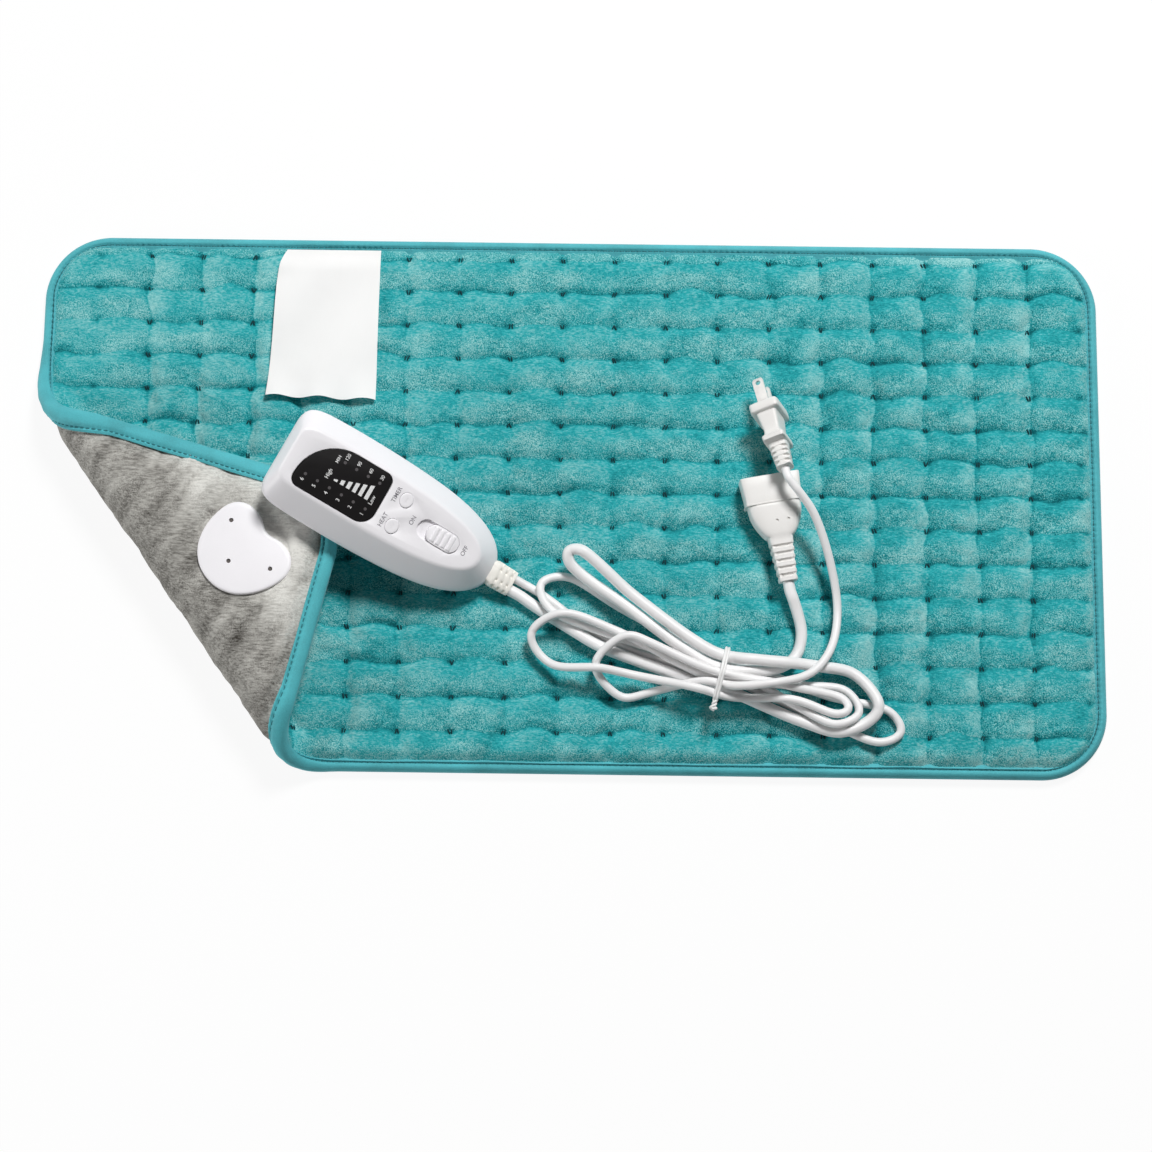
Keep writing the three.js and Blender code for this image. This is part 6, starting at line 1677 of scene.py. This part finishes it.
def cord_plan(lead, loops, slots, tail):
    """A cord's plan: its lead, loops right and left of the tie by turns, then its tail, each point with its pass."""
    places, passes = list(lead), [0] * len(lead)
    for number, offset in enumerate(slots):
        places += tie_slot(offset * MM, 1 if number % 2 == 0 else -1)
        passes += [number] * 2
        if number < len(loops):
            places += loop_points(*loops[number])
            passes += [number] * 3 + [number + 1] * 2
    places += list(tail)
    passes += [len(slots) - 1] * len(tail)
    return np.array(places), passes


def pinned(pins, runs):
    """Heights of a line of pins at given runs, nothing outside them."""
    at, height = np.array(pins).T * MM
    return np.interp(runs, at, height, left=0, right=0)


def rounded(plan):
    """A route with its bends evened out, its ends left as they are."""
    made = plan.copy()
    for _ in range(ROUND_ROUNDS):
        middle = (made[:-2] + made[1:-1] + made[2:]) / 3
        made[1 + ROUND_ENDS : -1 - ROUND_ENDS] = middle[ROUND_ENDS:-ROUND_ENDS]
    return made


class Strand:
    """A cord's route: close points in plan, each with its pass, its run and its height."""

    def __init__(self, diameter, places, passes):
        self.diameter = diameter
        self.sample(places, passes)
        self.runs = np.concatenate([[0], np.cumsum(np.linalg.norm(np.diff(self.plan, axis=0), axis=1))])
        self.heights = np.zeros(len(self.runs))
        self.held = np.zeros(len(self.runs))
        self.tips = [0.0] * (max(passes) + 2)

    def sample(self, places, passes):
        """Close points on a smooth curve through the places."""
        ends = np.concatenate([[2 * places[0] - places[1]], places, [2 * places[-1] - places[-2]]])
        plan, numbers = [], []
        for i in range(len(places) - 1):
            p = ends[i : i + 4]
            gap = np.linalg.norm(np.diff(p, axis=0), axis=1)
            a, b, c = np.sqrt(gap)
            leave = ((p[1] - p[0]) / a - (p[2] - p[0]) / (a + b) + (p[2] - p[1]) / b) * b
            arrive = ((p[2] - p[1]) / b - (p[3] - p[1]) / (b + c) + (p[3] - p[2]) / c) * b
            steps = math.ceil(gap[1] / SAMPLE_STEP)
            plan += [hermite(k / steps, p[1], p[2], leave, arrive) for k in range(steps)]
            numbers += [passes[i + 1]] * steps
        self.plan = rounded(np.array(plan + [places[-1]]))
        self.passes = np.array(numbers + [passes[-1]])

    def lay(self, number, laid, tie_diameter):
        """Lays one pass over everything that lies there already, in long low humps."""
        mine = np.nonzero(self.passes == number)[0]
        plan, runs, radius = self.plan[mine], self.runs[mine], self.diameter / 2
        lifted = (np.linalg.norm(plan - TIE_MIDDLE, axis=1) < TIE_LENGTH) * (tie_diameter + TIE_GAP)
        needed = PAD_TOP + np.maximum(SEAT_GAP + radius + lifted, self.held[mine])
        for other, theirs in laid:
            clear = radius + other.diameter / 2 + STRAND_GAP
            apart = np.linalg.norm(plan[:, None] - other.plan[theirs][None], axis=2)
            close = apart < clear
            if other is self:
                close &= np.abs(runs[:, None] - self.runs[theirs][None]) >= 4 * self.diameter
            rest = other.heights[theirs][None] + np.sqrt(np.maximum(clear**2 - apart**2, 0))
            needed = np.maximum(needed, np.where(close, rest, 0).max(axis=1))
        needed[0] = max(needed[0], self.tips[number])
        needed[-1] = max(needed[-1], self.tips[number + 1])
        heights = relaxed(needed.tolist(), runs.tolist())
        self.heights[mine] = heights
        self.tips[number] = max(self.tips[number], heights[0])
        self.tips[number + 1] = max(self.tips[number + 1], heights[-1])
        laid.append((self, mine))

    def path(self):
        """The route in space."""
        return np.column_stack([self.plan, self.heights])


def relaxed(needed, runs):
    """The lowest smooth line over needed heights."""
    heights, last = list(needed), len(needed) - 1
    for i in range(1, last + 1):
        heights[i] = max(heights[i], heights[i - 1] - CORD_SLOPE * (runs[i] - runs[i - 1]))
    for i in range(last - 1, -1, -1):
        heights[i] = max(heights[i], heights[i + 1] - CORD_SLOPE * (runs[i + 1] - runs[i]))
    for _ in range(SMOOTH_ROUNDS):
        for i in range(1, last):
            heights[i] = max(needed[i], (heights[i - 1] + heights[i] + heights[i + 1]) / 3)
    return heights


def cord_start(matrix, x, y, z, towards):
    """Ends of a straight stretch of cord out of a moulding, in plan."""
    ends = [matrix @ Vector((x + towards * (SEAT_GAP + run), y, z)) for run in (0, CORD_STRAIGHT)]
    return [np.array(end.xy) for end in ends]


def metres(points):
    """Points in mm as a list of arrays in metres."""
    return [np.array(point) * MM for point in points]


def led_cord(diameter, side, lead, loops, slots, tail, end_frame):
    """A cord from one side of the controller's boot through the tie to the moulding at its end."""
    first = cord_start(controller_frame(), BOOT_END, side * CORD_SPACING / 2, CASE_SEAM, 1)
    last = cord_start(end_frame, 0, 0, 0, -1)[::-1]
    return Strand(diameter, *cord_plan(first + metres(lead), loops, slots, metres(tail) + last))


def laid_cords(context):
    """Both cords, led from the controller, wound through the tie and led to their ends."""
    settings = context.scene.cords
    case = controller_frame()
    pad = led_cord(settings.pad_diameter, -1, PAD_LEAD, PAD_LOOPS, PAD_SLOTS, PAD_TAIL, CONNECTOR_FRAME)
    mains = led_cord(settings.mains_diameter, 1, MAINS_LEAD, MAINS_LOOPS, MAINS_SLOTS, MAINS_TAIL, PLUG_FRAME)
    start = (case @ Vector((BOOT_END, 0, CASE_SEAM))).z - PAD_TOP
    drop = start - CORD_STRAIGHT * math.sin(CASE_PITCH)
    boot = np.array([(0, start), (CORD_STRAIGHT, drop)]) / MM
    tilted = pad.runs[np.nonzero(pad.passes == len(PAD_LOOPS))[0][0]]
    pad.held = np.max([
        pinned(boot, pad.runs), pinned(PAD_TILT, pad.runs - tilted), pinned(CONNECTOR_PINS, pad.runs[-1] - pad.runs)
    ], axis=0)
    mains.held = np.maximum(pinned(boot, mains.runs), pinned(PLUG_PINS, mains.runs[-1] - mains.runs))
    strands = {"pad": pad, "mains": mains}
    for _ in range(LAY_ROUNDS):
        laid = []
        for name, number in WINDING:
            strands[name].lay(number, laid, settings.tie_diameter)
    return strands


def led_into(path, reach):
    """A route with both ends led a little way into what they enter."""
    start = path[0] + (path[0] - path[1]) / np.linalg.norm(path[0] - path[1]) * reach
    end = path[-1] + (path[-1] - path[-2]) / np.linalg.norm(path[-1] - path[-2]) * reach
    return np.concatenate([[start], path, [end]])


def cord_piece(name, path, diameter, maker):
    """A round cord as a curve along its route."""
    curve = bpy.data.curves.new(name, "CURVE")
    curve.dimensions = "3D"
    curve.bevel_depth = diameter / 2
    curve.bevel_resolution = 4
    curve.use_fill_caps = True
    spline = curve.splines.new("POLY")
    spline.points.add(len(path) - 1)
    spline.points.foreach_set("co", np.column_stack([path, np.ones(len(path))]).ravel())
    spline.use_smooth = True
    curve.materials.append(finish_of(maker))
    return placed(name, curve)


class PAD_OT_cords(bpy.types.Operator):
    """Pad cord and mains cord, wound in a hank and held by the tie"""

    bl_idname = "heating_pad.cords"
    bl_label = "Cords and tie"

    def execute(self, context):
        settings = context.scene.cords
        strands = laid_cords(context)
        ends = {
            "pad": ("pad_cord", "connector", ["cord_boot", "connector_moulding"]),
            "mains": ("mains_cord", "plug", ["cord_boot", "plug_moulding", "plug_blade_1", "plug_blade_2"]),
        }
        for name, strand in strands.items():
            node, far_end, mouldings = ends[name]
            path = led_into(strand.path(), LED_IN)
            made = cord_piece(f"{node}_run", path, strand.diameter, white_cord)
            dress(made, replaced=[f"{node}_{part}" for part in ("lead", "hank", "tail")])
        self.tie(settings, strands)
        return {"FINISHED"}

    RING_STEPS, RING_SIDES = 72, 10
    KNOT_RISE, KNOT_GAP = 1.2 * MM, 0.2 * MM
    TWIST_STEPS, TWIST_SIDES, TWIST_LENGTH, TWIST_TURN = 40, 8, 5.5 * MM, 2.6 * math.pi
    TWIST_SPREAD, TWIST_FLARE, FLARE_START = 0.85 * MM, 2.2 * MM, 0.7

    def tie(self, settings, strands):
        """A thin wire twice round all strands, its ends twisted together beside them."""
        radius = settings.tie_diameter / 2
        ring = self.round_strands(strands, TIE_GAP + radius)
        loop = np.array([self.by_tie(across, up) for across, up in ring])
        beside = np.array((*TIE_ALONG, 0.0)) * 0.95 * radius
        parts = [tube(loop + side * beside, radius, self.RING_SIDES, closed=True) for side in (-1, 1)]
        knot = ring[ring[:, 0].argmin()]
        for phase in (0.0, math.pi):
            twist = [self.twisted(knot, phase, k / (self.TWIST_STEPS - 1)) for k in range(self.TWIST_STEPS)]
            parts.append(tube(twist, radius * 0.9, self.TWIST_SIDES))
        made = piece_of("wire_tie", *joined(*parts), tie_wire, sharp=70.0)
        dress(made, replaced=["hank_tie"])

    @staticmethod
    def by_tie(across, up, along=0.0):
        """A point beside the tie's middle."""
        return (*(TIE_MIDDLE + TIE_ACROSS * across + TIE_ALONG * along), up)

    def round_strands(self, strands, gap):
        """A ring round all strands where they pass the tie: across it and up."""
        crossings = []
        for strand in strands.values():
            for number in range(strand.passes.max() + 1):
                mine = np.nonzero(strand.passes == number)[0]
                offset = strand.plan[mine] - TIE_MIDDLE
                nearest = np.abs(offset @ TIE_ALONG).argmin()
                crossings.append((offset[nearest] @ TIE_ACROSS, strand.heights[mine][nearest], strand.diameter / 2))
        ring = []
        for angle in np.linspace(0, 2 * math.pi, self.RING_STEPS, endpoint=False):
            c, s = math.cos(angle), math.sin(angle)
            across, up, strand_radius = max(crossings, key=lambda x: x[0] * c + x[1] * s + x[2])
            ring.append((across + (strand_radius + gap) * c, up + (strand_radius + gap) * s))
        for _ in range(2):
            ring = (np.roll(ring, 1, 0) + 2 * np.array(ring) + np.roll(ring, -1, 0)) / 4
        return ring

    def twisted(self, knot, phase, run):
        """A point along one of the tie's two ends, which spread where they stop."""
        turn = phase + run * self.TWIST_TURN
        spread = self.TWIST_SPREAD + self.TWIST_FLARE * max(0.0, run - self.FLARE_START) / (1 - self.FLARE_START)
        across = knot[0] - run * self.TWIST_LENGTH - self.KNOT_GAP
        up = knot[1] + self.KNOT_RISE + spread * math.sin(turn) * 0.8
        return self.by_tie(across, max(PAD_TOP + 1.6 * MM, up), spread * math.cos(turn))


# Inner parts and everything that shows as it is


class PAD_OT_inner(bpy.types.Operator):
    """Finishes for the parts that stay as built"""

    bl_idname = "heating_pad.inner"
    bl_label = "Inner parts"

    FINISHES = (
        (felt, ("heater_felt",)),
        (silicone, ("heating_wire",)),
        (white_plastic, ("socket_housing",)),
        (brass, ("socket_pin", "connector_sleeve")),
        (dark_screw, ("socket_screw",)),
        (bright_metal, ("plug_blade", "case_screw")),
        (board, ("circuit_board",)),
        (clear_light, ("heat_light", "timer_light", "fuse")),
        (black_package, ("thermal_cutout", "power_switch", "tact_switch", "microcontroller", "triac", "capacitor")),
    )

    def execute(self, context):
        for maker, names in self.FINISHES:
            for node_name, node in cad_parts.items():
                if any(name in node_name for name in names):
                    self.coat(node, finish_of(maker))
        return {"FINISHED"}

    @staticmethod
    def coat(node, material):
        """Gives a part that stays as built its finish."""
        if not node.material_slots:
            node.data.materials.append(material)
        for holder in node.material_slots:
            holder.material = material


# Stage

CAMERA_AIM = Vector((5.21, -41.30, 0)) * MM
CAMERA_AZIMUTH, CAMERA_ELEVATION = math.radians(-0.74), math.radians(80.0)
CAMERA_DISTANCE = 1317.2 * MM
CAMERA_LENS, CAMERA_SENSOR, CAMERA_NEAR = 72.13, 36, 0.05
KEY_PLACE, KEY_SIZE = Vector((0.5, 1.15, 1.75)), 0.6
SIDE_PLACE, SIDE_SIZE = Vector((-1.35, -0.5, 0.46)), 0.7
FLOOR_GLOW = 0.92
WHITE = (1.0, 1.0, 1.0)


class PAD_OT_stage(bpy.types.Operator):
    """White floor, soft light and the camera"""

    bl_idname = "heating_pad.stage"
    bl_label = "Stage"

    def execute(self, context):
        self.floor(context)
        self.light(context)
        self.camera(context)
        return {"FINISHED"}

    def floor(self, context):
        settings = context.scene.stage
        half = settings.floor_size / 2
        corners = [(-half, -half, 0), (half, -half, 0), (half, half, 0), (-half, half, 0)]
        made = piece_of("studio_floor", corners, [(0, 1, 2, 3)], studio_floor)

    def light(self, context):
        settings = context.scene.stage
        world = bpy.data.worlds.new("studio")
        world.use_nodes = True
        nodes = Nodes(world.node_tree)
        around, backdrop = (
            nodes.node("ShaderNodeBackground", {}, {"Color": WHITE, "Strength": strength})
            for strength in (settings.ambient, 1.0)
        )
        both = nodes.node("ShaderNodeMixShader", {}, {0: nodes.seen(), 1: around, 2: backdrop})
        nodes.feed(nodes.tree.nodes["World Output"].inputs["Surface"], both)
        context.scene.world = world
        self.lamp("key", KEY_PLACE, KEY_SIZE, settings.key_power)
        self.lamp("side", SIDE_PLACE, SIDE_SIZE, settings.fill_power)

    @staticmethod
    def lamp(name, place, size, power):
        data = bpy.data.lights.new(name, "AREA")
        data.shape = "DISK"
        data.size = size
        data.energy = power
        lamp = placed(name, data)
        lamp.location = place
        lamp.rotation_euler = (-place).to_track_quat("-Z", "Y").to_euler()

    def camera(self, context):
        data = bpy.data.cameras.new("camera")
        data.lens = CAMERA_LENS
        data.sensor_width = CAMERA_SENSOR
        data.clip_start = CAMERA_NEAR
        camera = placed("camera", data)
        a, e = CAMERA_AZIMUTH, CAMERA_ELEVATION
        ahead = Vector((math.sin(a) * math.cos(e), math.cos(a) * math.cos(e), -math.sin(e)))
        camera.location = CAMERA_AIM - ahead * CAMERA_DISTANCE
        camera.rotation_euler = ahead.to_track_quat("-Z", "Y").to_euler()
        context.scene.camera = camera
        context.scene.view_settings.view_transform = "Standard"


def studio_floor():
    """A white floor that the camera and gloss see as white, apart from the shadow on it."""
    colour = tuple(bpy.context.scene.stage.floor)
    made = Finish("studio_floor", Specular_IOR_Level=0.0, Roughness=0.9)
    made.show(Base_Color=colour)
    glow = made.node("ShaderNodeEmission", {}, {"Color": colour, "Strength": 1.0})
    lit = Term(made, made.shader.outputs[0])
    both = made.node("ShaderNodeMixShader", {}, {0: made.seen() * FLOOR_GLOW, 1: lit, 2: glow})
    made.feed(made.tree.nodes["Material Output"].inputs["Surface"], both)
    return made.material


class PAD_PT_panel(bpy.types.Panel):
    """Lists the steps that dress the heating pad"""

    bl_idname = "PAD_PT_panel"
    bl_label = "Heating pad"
    bl_space_type = "VIEW_3D"
    bl_region_type = "UI"
    bl_category = "Heating pad"

    def draw(self, context):
        for step in STEPS:
            self.layout.operator(step.bl_idname)
        for name in GROUPS:
            group, box = getattr(context.scene, name), self.layout.box()
            for setting in group.__annotations__:
                box.prop(group, setting)


STEPS = (
    PAD_OT_stage, PAD_OT_covers, PAD_OT_binding, PAD_OT_label, PAD_OT_socket, PAD_OT_case, PAD_OT_display,
    PAD_OT_controls, PAD_OT_plug, PAD_OT_connector, PAD_OT_cords, PAD_OT_inner,
)
GROUPS = {"heating_pad": PadSettings, "controller": ControllerSettings, "cords": CordSettings, "stage": StageSettings}


def register():
    for made in (*GROUPS.values(), *STEPS, PAD_PT_panel):
        bpy.utils.register_class(made)
    for name, group in GROUPS.items():
        setattr(bpy.types.Scene, name, bpy.props.PointerProperty(type=group))


def unregister():
    for name in GROUPS:
        delattr(bpy.types.Scene, name)
    for made in reversed((*GROUPS.values(), *STEPS, PAD_PT_panel)):
        bpy.utils.unregister_class(made)


def main():
    register()
    bpy.ops.heating_pad.stage()
    bpy.ops.heating_pad.covers()
    bpy.ops.heating_pad.binding()
    bpy.ops.heating_pad.label()
    bpy.ops.heating_pad.socket()
    bpy.ops.heating_pad.case()
    bpy.ops.heating_pad.display()
    bpy.ops.heating_pad.controls()
    bpy.ops.heating_pad.plug()
    bpy.ops.heating_pad.connector()
    bpy.ops.heating_pad.cords()
    bpy.ops.heating_pad.inner()


if __name__ == "__main__":
    main()
